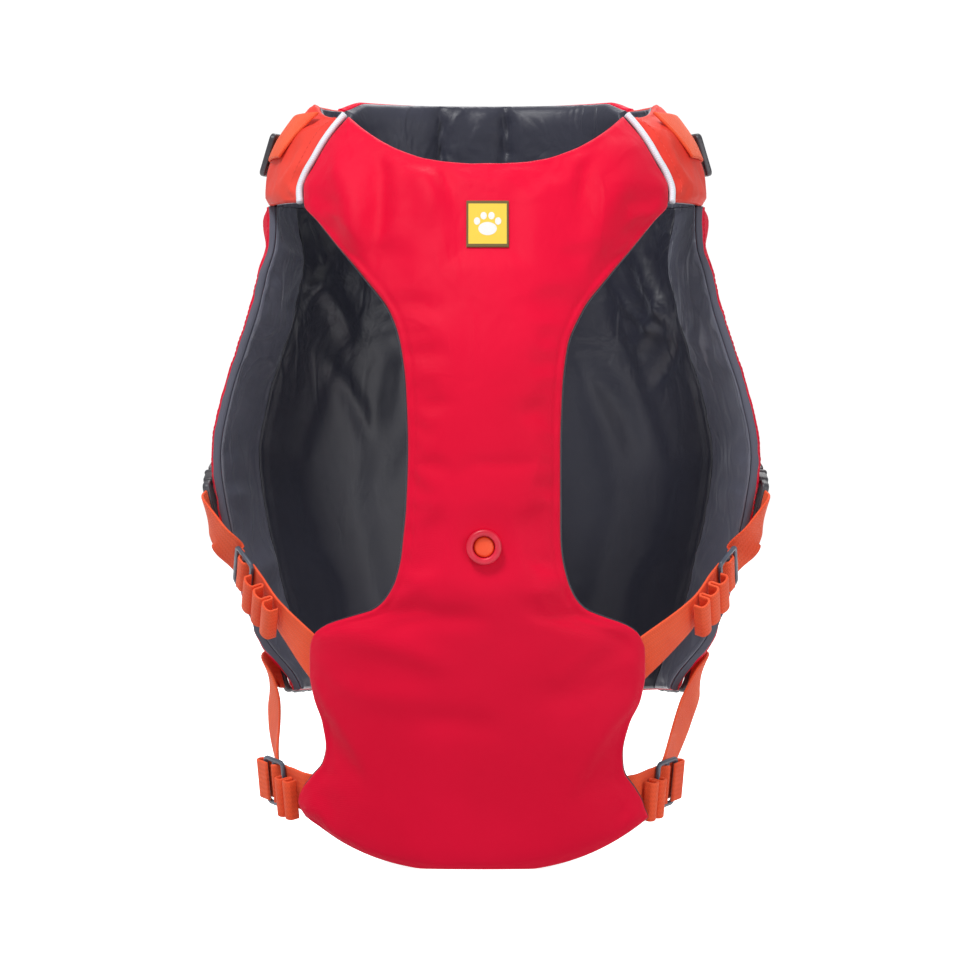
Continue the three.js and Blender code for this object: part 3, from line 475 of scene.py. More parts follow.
def wrap(angle, z):
    # round the body from 0 at the belly to 180 at the spine: x is the half width times the sine,
    # and y goes back from the middle by half the depth times the cosine
    turn = np.radians(angle)
    spine = column(bodyForm, "spineY", z)
    half = (spine - column(bodyForm, "bellyY", z)) / 2
    x = column(bodyForm, "halfWidth", z) * np.sin(turn)
    return np.stack(np.broadcast_arrays(x, spine - half - half * np.cos(turn), z), -1)


def belly(x, z):
    # the belly's own ellipse from its place across: y is back by the root of one less the sine's square
    spine = column(bodyForm, "spineY", z)
    half = (spine - column(bodyForm, "bellyY", z)) / 2
    sine = np.clip(x / column(bodyForm, "bellyHalfWidth", z), -0.96, 0.96)
    return np.stack(np.broadcast_arrays(x, spine - half - half * np.sqrt(1 - sine * sine), z), -1)


seams = {"gap": 0.3, "lining": 1.5, "perDegree": 2.4, "perShoulderDegree": 1.8,
         "seamAngle": 112.5, "collarAngle": 120.0, "shoulderZ": 122.0, "hemZ": -181.0, "hemDrop": 9.0,
         "meets": 0.03}
seamMeets = seams["meets"]  # the cloth's edges all but touch at a seam
gapAngle = seamMeets / seams["perDegree"]
halfLining = seams["lining"] / 2
shellBase = seams["lining"] + seams["gap"]
pads = {"back": 10.0, "seam": 4.0, "edge": 2.6, "belly": 7.0, "neckSide": 7.0, "collar": 7.0}


def hemHeight(angle):
    # the back's hem dips at the spine with the cosine's square
    return seams["hemZ"] - seams["hemDrop"] * np.cos(np.radians(angle)) ** 2


def stitchRun(name, path, up, finish, stitch):
    # thread stitches along a path: rounded beads, each a ring profile that swells in the middle
    step = np.concatenate([[0], np.cumsum(np.linalg.norm(np.diff(path, axis=0), axis=-1))])
    count = max(int(step[-1] / stitch["pitch"]), 1)
    at = (np.arange(count) + 0.5) * step[-1] / count
    centre = np.stack([np.interp(at, step, path[:, i]) for i in range(3)], -1)
    ahead = np.stack([np.interp(at + 0.5, step, path[:, i]) - np.interp(at - 0.5, step, path[:, i])
                      for i in range(3)], -1)
    rise = unit(np.stack([np.interp(at, step, up[:, i]) for i in range(3)], -1))
    along = unit(ahead)
    beside = unit(np.cross(rise, along))
    rise = np.cross(along, beside)
    length = np.linspace(-1, 1, 5)
    swell = np.sqrt(np.maximum(1 - length ** 2 * 0.9, 0.05))
    turn = np.linspace(0, 2 * np.pi, 6, endpoint=False)
    bead = np.stack(np.broadcast_arrays(
        length[:, None] * stitch["length"] / 2,
        swell[:, None] * np.cos(turn) * stitch["width"] / 2,
        swell[:, None] * np.sin(turn) * stitch["height"] / 2), -1).reshape(-1, 3)
    basis = np.stack([along, beside, rise], 1)
    points = (centre[:, None] + np.einsum("pa,sak->spk", bead, basis)).reshape(-1, 3)
    ring = np.arange(30).reshape(5, 6)
    ring = np.concatenate([ring, ring[:, :1]], 1)
    one = gridQuads(ring)
    ends = np.array([[0, 1, 2, 3], [0, 3, 4, 5], [24, 27, 26, 25], [24, 29, 28, 27]])[:, ::-1]
    quads = (np.concatenate([one, ends])[None] + 30 * np.arange(count)[:, None, None]).reshape(-1, 4)
    cut = np.tile(bead[:, :2], (count, 1))
    makePiece(name, points, quads, cut, finish)


topStitch = {"pitch": 3.4, "length": 2.7, "width": 0.7, "height": 0.6}
print("form and helpers ready")


# The back is a padded shell over a lining.

backPanel = {
    "pitch": 3.0, "width": 330, "height": 306,
    "cloth": {"cols": 60, "rows": 52, "pressure": 3.0, "spare": 0.02, "stiffness": 0.6,
              "most": 3.0, "steps": 16},
    "liningCloth": {"cols": 60, "rows": 52, "pressure": -1.0, "spare": 0.012, "stiffness": 0.5,
                    "most": 1.5, "steps": 16},
}
lining = {"swell": 1.6, "swellRun": 18, "pucker": 0.45, "edge": 0.9}
# creases on the lining, placed on the picture's plane
liningFolds = {
    "x0": [-132, -94, -128, -110, -70, 98, 126, 132, 84, 70, -30, 40, 0],
    "z0": [98, 96, 60, 30, 60, 92, 104, 62, 70, 20, 40, 60, -150],
    "x1": [-86, -134, -96, -74, -58, 138, 96, 108, 120, 96, -60, 84, 60],
    "z1": [34, 24, 92, -30, -20, 34, 30, 8, 40, -40, -60, -20, -120],
    "bow": [5, -6, 3, 6, 8, -5, 6, 4, -3, 6, 4, 5, 3],
    "width": [5, 4.5, 3.5, 6, 8, 5, 4.5, 4, 3, 8, 7, 9, 6],
    "height": [4.2, 3.6, -3.0, 2.8, 1.6, 4.2, 3.6, -3.0, 3.0, 2.0, 1.0, 1.2, 1.2],
}
shellFolds = {
    "x0": [-70, 20, 90, -110, 60, -40], "z0": [90, 104, 60, 10, -60, -150],
    "x1": [-30, 70, 60, -80, 110, 10], "z1": [60, 84, 20, -50, -110, -140],
    "bow": [6, -4, 8, 6, -7, 3], "width": [8, 6, 9, 8, 9, 6], "height": [-1.4, -1.2, 1.2, -1.4, 1.2, -1.0],
}


def backPlace(s, t):
    # s goes round the back from seam to seam, t up from the hem to the shoulder
    first = seams["seamAngle"] + gapAngle
    angle = first + (360 - 2 * first) * s[None, :] + 0 * t[:, None]
    low = hemHeight(angle)
    return angle, low + (seams["shoulderZ"] - seamMeets - low) * t[:, None]


def backShellAt(s, t):
    # the outer face: the body's form moved out by the padding's quarter ellipse
    angle, z = backPlace(s, t)
    sides, ends, _, _ = fromBorder(wrap(angle, z))
    height = shellBase + np.minimum(padding(pads["seam"], pads["back"], sides),
                                    padding(pads["seam"], pads["back"], ends))
    return lifted(wrap, angle, z, height)


def seamPucker(points, distance, depth, seed):
    # a groove along the seam's stitches, uneven as the thread pulls it
    groove = np.exp(-((distance - 3.6) / 1.5) ** 2)
    pull = np.exp(-(distance / 9) ** 2) * ripple(points, 11, seed)
    return -depth * groove + depth * 0.9 * pull


def paddedShell(name, faceAt, innerAt, across, along, cloth, edge, seed, finish,
                folds=None, side=1, middle=0.5):
    # the outer face: pattern, then cloth, puckers and folds; both faces round off at the border
    face = faceAt(across, along)
    inner = innerAt(across, along)
    sides, ends, _, _ = fromBorder(face)
    distance = np.minimum(sides, ends)
    normal = unit(face - inner)
    move = settled(faceAt, across, along, cloth)
    extra = seamPucker(face, distance, 0.7, seed)
    if folds:
        extra = extra + foldHeight(face[..., 0], face[..., 2], folds) * smoothstep(distance, 3, 14)
    rounding = roundness(distance, edge / 2)[..., None]
    core = inner + normal * edge / 2
    thick = np.linalg.norm(face - inner, axis=-1, keepdims=True)
    extra = (extra * smoothstep(distance, 0, 3))[..., None]
    outer = core + normal * ((thick - edge / 2) * rounding + extra) + move
    under = core - normal * (edge / 2) * rounding
    piece = shellPiece(name, mirrored(under, side), mirrored(outer, side), finish, middle)
    return piece, mirrored(outer, side)


def leftRun(outer, inset):
    # points beside a grid's left side, a number of columns in from it, with the way out
    path = outer[:, inset]
    ahead = np.gradient(path, axis=0)
    return path, unit(np.cross(ahead, outer[:, inset + 1] - path))


backAcross = spaced(backPanel["width"], backPanel["pitch"])
backAlong = spaced(backPanel["height"], backPanel["pitch"])
backShell, _ = paddedShell(
    "backPanelShell", backShellAt, lambda s, t: lifted(wrap, *backPlace(s, t), shellBase),
    backAcross, backAlong, backPanel["cloth"], pads["seam"], 11, "red", shellFolds)
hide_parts("back_shell")


def liningPiece(name, place, across, along, cloth, seed, side=1, lift=None, finish="litLining"):
    # the lining's seen face swells a little between its seams and carries the creases; its colour is by
    # default the lining's lightest copy, painted light
    angle, z = place(across, along)
    flare = 0 if lift is None else lift(angle, z)

    def seen(s, t):
        a, b = place(s, t)
        more = 0 if lift is None else lift(a, b)
        return lifted(wrap, a, b, -0.2 + more)

    base = lifted(wrap, angle, z, flare + np.zeros_like(z))
    normal = outward(wrap, angle, z)
    sides, ends, _, _ = fromBorder(base)
    distance = np.minimum(sides, ends)
    move = settled(seen, across, along, cloth)
    swell = lining["swell"] * np.sqrt(np.clip(distance / lining["swellRun"], 0, 1))
    crease = foldHeight(mirrored(base, side)[..., 0], base[..., 2], liningFolds)
    crease = crease * smoothstep(distance, 2, 14) + seamPucker(base, distance, lining["pucker"], seed)
    shown = base - normal * (swell + crease)[..., None] + move
    behind = base + normal * seams["lining"]
    middle = base + normal * halfLining
    ease = roundness(distance, lining["edge"])[..., None]
    shown, behind = middle + (shown - middle) * ease, middle + (behind - middle) * ease
    return shellPiece(name, mirrored(behind, side), mirrored(shown, side), finish)


backLining = liningPiece("backLiningCloth", backPlace, backAcross, backAlong,
                         backPanel["liningCloth"], 21, finish="grey")
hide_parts("back_lining")
print("back made")


# Each flank has a padded shell, a lining and a free edge that turns out.

flankPanel = {
    "pitch": 2.6, "width": 58, "height": 306, "flare": 9.0, "reach": 46.0, "lowZ": -140.0,
    "highZ": 74.0, "topZ": 122.0, "softness": 2.0,
    "cloth": {"cols": 16, "rows": 70, "pressure": 3.0, "spare": 0.03, "stiffness": 0.6,
              "most": 1.4, "steps": 16},
    "liningCloth": {"cols": 16, "rows": 70, "pressure": -1.5, "spare": 0.03, "stiffness": 0.3,
                    "most": 2.4, "steps": 16},
}
flankEdge = {"z": [-190, -150, -106, -62, -20, 122], "angle": [99, 97, 94, 90, 88, 88]}


def flankPlace(s, t):
    # s goes from the free edge to the seam, t up from the hem to the shoulder
    rough = seams["hemZ"] + (seams["shoulderZ"] - seams["hemZ"]) * t[:, None]
    first = column(flankEdge, "angle", rough)
    angle = first + (seams["seamAngle"] - gapAngle - first) * s[None, :]
    low = hemHeight(angle)
    return angle, low + (seams["shoulderZ"] - seamMeets - low) * t[:, None]


def flareAt(angle, z):
    # the flank turns out by the square of how near its free edge is
    fromEdge = (angle - column(flankEdge, "angle", z)) * seams["perDegree"]
    reach = np.clip(1 - fromEdge / flankPanel["reach"], 0, 1)
    fade = 1 - smoothstep(z, flankPanel["highZ"], flankPanel["topZ"])
    return flankPanel["flare"] * reach ** 2 * fade * smoothstep(z, seams["hemZ"], flankPanel["lowZ"])


def flankShellAt(s, t):
    # the least of three quarter ellipses, from the free edge, the seam and the ends, plus the flare
    angle, z = flankPlace(s, t)
    fromEdge = (angle - column(flankEdge, "angle", z)) * seams["perDegree"]
    fromSeam = (seams["seamAngle"] - angle) * seams["perDegree"]
    fromEnds = np.minimum(seams["shoulderZ"] - z, z - hemHeight(angle))
    height = np.minimum(padding(pads["edge"], pads["back"], fromEdge / flankPanel["softness"]),
                        padding(pads["seam"], pads["back"], fromSeam))
    height = np.minimum(height, padding(pads["seam"], pads["back"], fromEnds))
    return lifted(wrap, angle, z, shellBase + height + flareAt(angle, z))


def flankInnerAt(s, t):
    # the shell's inner face: the body's form moved out by the lining and the flare
    angle, z = flankPlace(s, t)
    return lifted(wrap, angle, z, shellBase + flareAt(angle, z))


flankAcross = spaced(flankPanel["width"], flankPanel["pitch"])
flankAlong = spaced(flankPanel["height"], flankPanel["pitch"])
for side, suffix in ((-1, "Left"), (1, "Right")):
    node = suffix.lower()
    shell, outer = paddedShell("flankShell" + suffix, flankShellAt, flankInnerAt, flankAcross, flankAlong,
                               flankPanel["cloth"], pads["edge"], 31 + side, "redFaced", None, side, 0.0)
    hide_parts("flank_shell_" + node)
    inside = liningPiece("flankLining" + suffix, flankPlace, flankAcross, flankAlong,
                         flankPanel["liningCloth"], 41 + side, side, flareAt)
    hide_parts("flank_lining_" + node)
    path, up = leftRun(outer, 5)
    stitchRun("flankStitches" + suffix, path, up * side, "redThread", topStitch)
print("flanks made")


# The collar has channels on its lining and a padded shell outside.

collar = {
    "topZ": 190.0, "creases": (-30.0, 13.0), "rise": 7.5, "footZ": 150.0, "shellRise": 0.1,
    "pitch": 2.4, "width": 190, "height": 64, "cornerDrop": 5.0, "cornerRun": 15,
    "crease": 2.0, "creaseWidth": 1.8,
    "cloth": {"cols": 60, "rows": 16, "pressure": 3.0, "spare": 0.02, "stiffness": 0.6,
              "most": 2.0, "steps": 14},
}


def collarPlace(top):
    # a band round the back of the neck, whose top drops a little at both ends
    def place(s, t):
        first = seams["collarAngle"] + gapAngle
        low = seams["shoulderZ"] + seamMeets
        angle = first + (360 - 2 * first) * s[None, :] + 0 * t[:, None]
        fromEnd = np.minimum(s, 1 - s) * collar["width"]
        corner = collar["cornerDrop"] * (1 - smoothstep(fromEnd, 0, collar["cornerRun"]))[None, :]
        return angle, low + (top - corner - low) * t[:, None] + 0 * angle
    return place


def channelRise(x, z):
    # each channel is a quarter ellipse up from its nearest crease, fading at the seam and the top
    nearest = np.min([np.abs(x - crease) for crease in collar["creases"]], axis=0)
    lower = smoothstep(z, seams["shoulderZ"], collar["footZ"])
    return collar["rise"] * padding(0, 1, nearest) * padding(0, 1, collar["topZ"] - z) * lower


collarAcross = spaced(collar["width"], collar["pitch"])
collarAlong = spaced(collar["height"], collar["pitch"])
place = collarPlace(collar["topZ"])
angle, z = place(collarAcross, collarAlong)
base = wrap(angle, z)
normal = outward(wrap, angle, z)
sides, ends, _, _ = fromBorder(base)
distance = np.minimum(sides, ends)
uneven = ripple(base, 26, 51) * 0.5 + ripple(base, 12, 52) * 0.25
crease = np.min([np.abs(base[..., 0] - c) for c in collar["creases"]], axis=0)
pull = (np.exp(-(crease / 9) ** 2) * ripple(base, 9, 53) * 0.9
        - collar["crease"] * np.exp(-(crease / collar["creaseWidth"]) ** 2))
rise = channelRise(base[..., 0], z) + (uneven + pull) * smoothstep(distance, 0, 8)
shown = base - normal * rise[..., None]
behind = base + normal * seams["lining"]
middle = (base + behind) / 2
ease = roundness(distance, 1.0)[..., None]
collarLining = shellPiece("collarLining", middle + (behind - middle) * ease,
                          middle + (shown - middle) * ease, "collarLiningTone")
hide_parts("collar_lining")

shellTop = collar["topZ"] + collar["shellRise"]
collarShellPlace = collarPlace(shellTop)


def collarShellAt(s, t):
    # the body's form moved out by a quarter ellipse up from the collar's seam and top
    angle, z = collarShellPlace(s, t)
    inset = np.minimum(z - seams["shoulderZ"] - seams["gap"], shellTop - z)
    return lifted(wrap, angle, z, shellBase + padding(pads["seam"], pads["collar"], inset))


collarShell, _ = paddedShell(
    "collarShell", collarShellAt, lambda s, t: lifted(wrap, *collarShellPlace(s, t), shellBase),
    collarAcross, collarAlong, collar["cloth"], pads["seam"], 61, "red")
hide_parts("collar_shell")
print("collar made")


bellyCut = {
    "z": [-254, -245, -237, -229, -221, -212, -196, -180, -165, -150, -141, -135, -130, -125, -117, -106,
          -90, -62, -30, 5, 32, 54, 74, 96, 110, 119, 130, 145, 160, 173.5],
    "halfWidth": [103, 103.5, 100.4, 94.8, 90.4, 89.2, 92, 97.5, 99.8, 99.5, 96.5, 89, 76, 63, 55.4, 50.4,
                  47.2, 45.6, 45.1, 46.2, 49.3, 57.5, 72.5, 90.5, 101.5, 108.5, 109, 102, 93.5, 83],
    "centreX": [-5, -9, -10, -10, -8, -7, -6, -5, -5, -5, -5.5, -5.5, -5, -3.5, -3, -2.5,
                -2.5, -1.5, -1, -1, -1, 0, 0, 0, 0, 0, 0, 0, 0, 0],
}
bellyPanel = {
    "rearZ": -254.0, "tipZ": 173.5, "hemDrop": 32.0, "hemPower": 2.6, "neckDrop": 30.5,
    "neckPower": 2.6, "hemTopZ": -165.0, "neckFootZ": 70.0, "peek": 1.4, "base": 2.0,
    "pitch": 2.3, "width": 200, "length": 431,
    "cloth": {"cols": 44, "rows": 96, "pressure": 2.5, "spare": 0.02, "stiffness": 0.8,
              "most": 2.4, "steps": 16},
}
eyelet = {"x": -1.0, "z": -87.0, "ringRadius": 8.6, "ringThickness": 2.1, "calmFrom": 9, "calmTo": 30,
          "radii": [0.05, 1.5, 3.0, 4.6, 5.6, 6.1, 6.1], "rises": [2.4, 2.38, 2.28, 2.1, 1.8, 1.3, 0.0],
          "lift": 0.3, "around": 40, "ringSteps": 56}
patch = {"x": 1.0, "z": 103.5, "width": 24.4, "height": 28.0, "thickness": 0.9, "border": 0.6,
         "calmZ": 106.5, "calmWidth": 13, "calmHeight": 16, "calmRun": 16}
bellyFolds = {
    "x0": [-92, -66, -50, -71, -34, 10, 30, 24, 40, 86, 70, -60, -84, -94, -40, 30],
    "z0": [152, 166, 150, 176, 146, 148, -96, -112, -128, 140, 168, -136, -140, -170, -190, -176],
    "x1": [-74, -65, -30, -58, -18, 30, 92, 90, 94, 60, 56, 0, -20, -30, 10, 88],
    "z1": [86, 88, 106, 146, 116, 124, -124, -136, -150, 70, 112, -128, -158, -176, -196, -160],
    "bow": [4, 4, 5, -2, 3, -3, 6, 5, 4, -6, -4, 4, 3, -3, 2, -4],
    "width": [8, 6.5, 9, 3.4, 5, 5, 6, 5, 6, 9, 6, 7, 8, 9, 8, 9],
    "height": [4.2, -4.6, 3.4, -3.8, -2.8, -2.4, -2.4, 2.2, -1.8, 3.4, -3.4, -2.2, 1.6, 1.4, -1.2, -1.4],
}


def bellyPlace(s, t, peek=0.0):
    # s runs from -1 to 1 across; the hem and the neckline sag between their corners by a power curve
    row = bellyPanel["rearZ"] - peek + (bellyPanel["tipZ"] - bellyPanel["rearZ"] + 2 * peek) * t
    inside = np.clip(row, bellyPanel["rearZ"], bellyPanel["tipZ"])
    nearHem = 1 - smoothstep(row, bellyPanel["rearZ"], bellyPanel["hemTopZ"])
    nearNeck = smoothstep(row, bellyPanel["neckFootZ"], bellyPanel["tipZ"])
    hem = bellyPanel["hemDrop"] * (1 - np.abs(s) ** bellyPanel["hemPower"]) * nearHem
    neck = bellyPanel["neckDrop"] * (1 - np.abs(s) ** bellyPanel["neckPower"]) * nearNeck
    half = column(bellyCut, "halfWidth", inside) + peek
    return column(bellyCut, "centreX", inside) + s * half, row - hem - neck


def bellyGrid(s, t, peek=0.0):
    # the same for shares from 0 to 1
    return bellyPlace(2 * s[None, :] - 1, t[:, None] + 0 * s[None, :], peek)


def bellyInset(s, t):
    # the distance from the side, across, is shortened where the outline slants
    share = np.abs(2 * s[None, :] - 1) + 0 * t[:, None]
    _, z = bellyGrid(s, t)
    height = np.clip(z, bellyPanel["rearZ"], bellyPanel["tipZ"])
    slope = (column(bellyCut, "halfWidth", height + 1) - column(bellyCut, "halfWidth", height - 1)) / 2
    side = (1 - share) * column(bellyCut, "halfWidth", height) / np.sqrt(1 + slope ** 2)
    end = np.minimum(t, 1 - t)[:, None] * (bellyPanel["tipZ"] - bellyPanel["rearZ"]) + 0 * share
    return np.minimum(side, end)


def bellyFaceAt(s, t):
    # the belly's form moved out by a quarter ellipse up from the outline
    x, z = bellyGrid(s, t)
    pad = padding(pads["edge"], pads["belly"], bellyInset(s, t))
    return lifted(belly, x, z, bellyPanel["base"] + pad)


bellyAcross = spaced(bellyPanel["width"], bellyPanel["pitch"])
bellyAlong = spaced(bellyPanel["length"], bellyPanel["pitch"])
x, z = bellyGrid(bellyAcross, bellyAlong)
inner = lifted(belly, x, z, bellyPanel["base"])
face = bellyFaceAt(bellyAcross, bellyAlong)
distance = bellyInset(bellyAcross, bellyAlong)
normal = outward(belly, x, z)
move = settled(bellyFaceAt, bellyAcross, bellyAlong, bellyPanel["cloth"])
# nothing swells under the eyelet and the patch
fromEyelet = np.hypot(x - eyelet["x"], z - eyelet["z"])
fromPatch = np.maximum(np.abs(x - patch["x"]) - patch["calmWidth"],
                       np.abs(z - patch["calmZ"]) - patch["calmHeight"])
calm = smoothstep(fromEyelet, eyelet["calmFrom"], eyelet["calmTo"])
calm = calm * smoothstep(fromPatch, 0, patch["calmRun"])
ease = smoothstep(distance, 0, 4) * calm
extra = seamPucker(face, distance, 0.55, 71) + foldHeight(x, z, bellyFolds) * smoothstep(distance, 3, 16)
rounding = roundness(distance, pads["edge"] / 2)[..., None]
middle = inner + normal * pads["edge"] / 2
thick = padding(pads["edge"], pads["belly"], distance)[..., None]
bellyOuter = (middle + normal * ((thick - pads["edge"] / 2) * rounding + (extra * ease)[..., None])
              + move * calm[..., None])
bellyUnder = middle - normal * (pads["edge"] / 2) * rounding
bellyShell = shellPiece("bellyPanel", bellyUnder, bellyOuter, "red")
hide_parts("belly_panel")

x, z = bellyGrid(bellyAcross, bellyAlong, bellyPanel["peek"])
inset = np.minimum(fromBorder(belly(x, z))[0], fromBorder(belly(x, z))[1])
ease = roundness(inset, 0.75)
swell = 1.2 * np.sqrt(np.clip((inset - 4) / 20, 0, 1))
swell = swell + ripple(belly(x, z), 30, 72) * 0.3 * smoothstep(inset, 4, 20)
bellyLining = shellPiece("bellyLining", lifted(belly, x, z, halfLining - (halfLining + swell) * ease),
                         lifted(belly, x, z, halfLining + halfLining * ease), "grey")
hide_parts("belly_lining")
print("belly made")


neckSide = {
    "frontZ": 172.5, "rise": 11.5, "frontAngle": 52.0, "backAngle": 88.0, "pipingRadius": 2.2,
    "pitch": 2.2, "width": 100, "height": 58,
    "cloth": {"cols": 34, "rows": 20, "pressure": 3.0, "spare": 0.03, "stiffness": 0.6,
              "most": 1.8, "steps": 14},
    "liningCloth": {"cols": 34, "rows": 20, "pressure": -1.0, "spare": 0.03, "stiffness": 0.3,
                    "most": 1.8, "steps": 14},
}


def shoulderSeam(z, beyond):
    # the angle of the belly panel's edge, moved on by a distance
    x = column(bellyCut, "halfWidth", np.minimum(z, bellyPanel["tipZ"]))
    sine = np.minimum(x / column(bodyForm, "halfWidth", z), 0.985)
    return np.degrees(np.arcsin(sine)) + beyond / seams["perShoulderDegree"]


pipingSeam = 2 * (neckSide["pipingRadius"] + seams["gap"])


def neckTop(angle):
    # the top rises by a smooth step from the front to the back
    share = smoothstep(angle, neckSide["frontAngle"], neckSide["backAngle"])
    return neckSide["frontZ"] + neckSide["rise"] * share


def neckPlace(s, t):
    # s goes round from the piping to the collar, t up from the shoulder to the top
    rough = seams["shoulderZ"] + (bellyPanel["tipZ"] - seams["shoulderZ"]) * t[:, None]
    first = shoulderSeam(rough, pipingSeam)
    angle = first + (seams["collarAngle"] - gapAngle - first) * s[None, :]
    low = seams["shoulderZ"] + seamMeets
    return angle, low + (neckTop(angle) - low) * t[:, None]


def neckFaceAt(s, t):
    # the body's form moved out by a quarter ellipse up from the nearest side or end
    angle, z = neckPlace(s, t)
    fromSide = np.minimum(angle - shoulderSeam(z, pipingSeam), seams["collarAngle"] - angle)
    fromEnds = np.minimum(neckTop(angle) - z, z - seams["shoulderZ"])
    inset = np.minimum(fromSide * seams["perDegree"], fromEnds)
    pad = padding(pads["edge"], pads["neckSide"], np.maximum(inset, 0))
    return lifted(wrap, angle, z, shellBase + pad)


def carried(name, path, across, profile, finish, closed=False):
    # a profile of (across, out) points set at every station of a path, squared to its run
    before, after = np.roll(path, 1, 0), np.roll(path, -1, 0)
    if not closed:
        before[0], after[-1] = path[0], path[-1]
    along = unit(after - before)
    side = unit(across - along * (across * along).sum(-1, keepdims=True))
    out = np.cross(along, side)
    points = path[:, None] + side[:, None] * profile[None, :, :1] + out[:, None] * profile[None, :, 1:]
    count, around = len(path), len(profile)
    index = np.arange(count * around).reshape(count, around)
    index = np.concatenate([index, index[:, :1]], 1)
    caps = () if closed else (index[0, :-1][::-1], index[-1, :-1])
    if closed:
        index = np.concatenate([index, index[:1]])
    run = np.concatenate([[0], np.cumsum(np.linalg.norm(np.diff(path, axis=0), axis=-1))])
    cut = np.stack(np.broadcast_arrays(profile[None, :, 0], run[:, None]), -1).reshape(-1, 2)
    return makePiece(name, points.reshape(-1, 3), gridQuads(index), cut, finish, caps)


def throughKeys(keys, steps):
    # a centripetal Catmull-Rom curve: cubic pieces whose slopes weigh each gap by its root
    keys = np.asarray(keys, float)
    ends = np.concatenate([2 * keys[:1] - keys[1:2], keys, 2 * keys[-1:] - keys[-2:-1]])
    t = np.linspace(0, len(keys) - 1, steps + 1)
    row = np.minimum(t.astype(int), len(keys) - 2)
    w = (t - row)[:, None]
    p0, p1, p2, p3 = (ends[row + i] for i in range(4))
    root = lambda a, b: np.sqrt(np.linalg.norm(a - b, axis=-1, keepdims=True))
    g1 = root(p1, p2)
    g1 = np.where(g1 < 1e-4, 1, g1)
    g0, g2 = root(p0, p1), root(p2, p3)
    g0, g2 = np.where(g0 < 1e-4, g1, g0), np.where(g2 < 1e-4, g1, g2)
    m1 = ((p1 - p0) / g0 - (p2 - p0) / (g0 + g1) + (p2 - p1) / g1) * g1
    m2 = ((p2 - p1) / g1 - (p3 - p1) / (g1 + g2) + (p3 - p2) / g2) * g1
    return p1 + m1 * w + (-3 * p1 + 3 * p2 - 2 * m1 - m2) * w ** 2 + (2 * p1 - 2 * p2 + m1 + m2) * w ** 3


shoulderStrap = {"upperAngle": 61.0, "lowerAngle": 72.0, "upperZ": 172.0, "lowerZ": 147.0,
                 "endAngle": 118.0, "thickness": 2.0, "lift": 0.8, "length": 100, "width": 26, "edge": 0.7}
shoulderBase = shellBase + pads["neckSide"]
neckAcross = spaced(neckSide["width"], neckSide["pitch"])
neckAlong = spaced(neckSide["height"], neckSide["pitch"])
for side, suffix in ((-1, "Left"), (1, "Right")):
    node = suffix.lower()
    shell, outer = paddedShell(
        "neckSide" + suffix, neckFaceAt, lambda s, t: lifted(wrap, *neckPlace(s, t), shellBase),
        neckAcross, neckAlong, neckSide["cloth"], pads["edge"], 81 + side, "coral", None, side)
    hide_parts("neck_side_" + node)
    inside = liningPiece("neckSideLining" + suffix, neckPlace, neckAcross, neckAlong,
                         neckSide["liningCloth"], 91 + side, side)
    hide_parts("neck_side_lining_" + node)
    path, up = leftRun(outer, 5)
    stitchRun("neckSideStitches" + suffix, path, up * side, "coralThread", topStitch)

    height = np.linspace(seams["shoulderZ"] - 1, bellyPanel["tipZ"], 7)
    keys = lifted(wrap, shoulderSeam(height, seams["gap"] + neckSide["pipingRadius"]), height,
                  seams["lining"] + 2 * neckSide["pipingRadius"] + 0 * height)
    path = throughKeys(mirrored(keys, side), 60)
    turn = np.linspace(0, 2 * np.pi, 20, endpoint=False)
    profile = neckSide["pipingRadius"] * np.stack([np.cos(turn), np.sin(turn)], -1)
    piping = carried("piping" + suffix, path, np.tile([0.0, 0.3, 0.2], (len(path), 1)), profile, "piping")
    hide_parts("piping_" + node)

    s, t = spaced(shoulderStrap["length"], 2.4), spaced(shoulderStrap["width"], 2.0)
    slant = shoulderStrap["lowerAngle"] - shoulderStrap["upperAngle"]
    first = shoulderStrap["upperAngle"] + slant * t[:, None]
    angle = first + (shoulderStrap["endAngle"] - first) * s[None, :]
    fall = shoulderStrap["lowerZ"] - shoulderStrap["upperZ"]
    z = shoulderStrap["upperZ"] + fall * t[:, None] + 0 * angle
    low = shoulderBase + shoulderStrap["lift"]
    bottom = lifted(wrap, angle, z, low + 0 * z)
    top = lifted(wrap, angle, z, low + shoulderStrap["thickness"] + 0 * z)
    strap = easedSheet("shoulderStrap" + suffix, bottom, top, shoulderStrap["edge"], "webbing", side)
    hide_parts("shoulder_strap_" + node)
print("neck sides made")


webbing = {"width": 25.0, "thickness": 1.6}


def webbingProfile(width=webbing["width"], thickness=webbing["thickness"]):
    # a flat band with round edges
    half, radius = width / 2, thickness / 2
    turn = np.radians(np.linspace(-90, 90, 7))
    edge = np.stack([half - radius + radius * np.cos(turn), radius * np.sin(turn)], -1)
    flat = np.linspace(-(half - radius), half - radius, 11)[1:-1]
    top = np.stack([flat[::-1], np.full(9, radius)], -1)
    return np.concatenate([edge, top, -edge, -top])


def frameOf(centre, along, out):
    # a place whose axes run along, across and out from a face
    z = unit(np.asarray(out, float))
    x = unit(along - z * (along @ z))
    return {"centre": np.asarray(centre, float), "along": x, "across": np.cross(z, x), "out": z}


def local(place, u, v, w):
    # a place's centre plus so much along, across and out
    return (place["centre"] + place["along"] * np.asarray(u)[..., None]
            + place["across"] * np.asarray(v)[..., None] + place["out"] * np.asarray(w)[..., None])


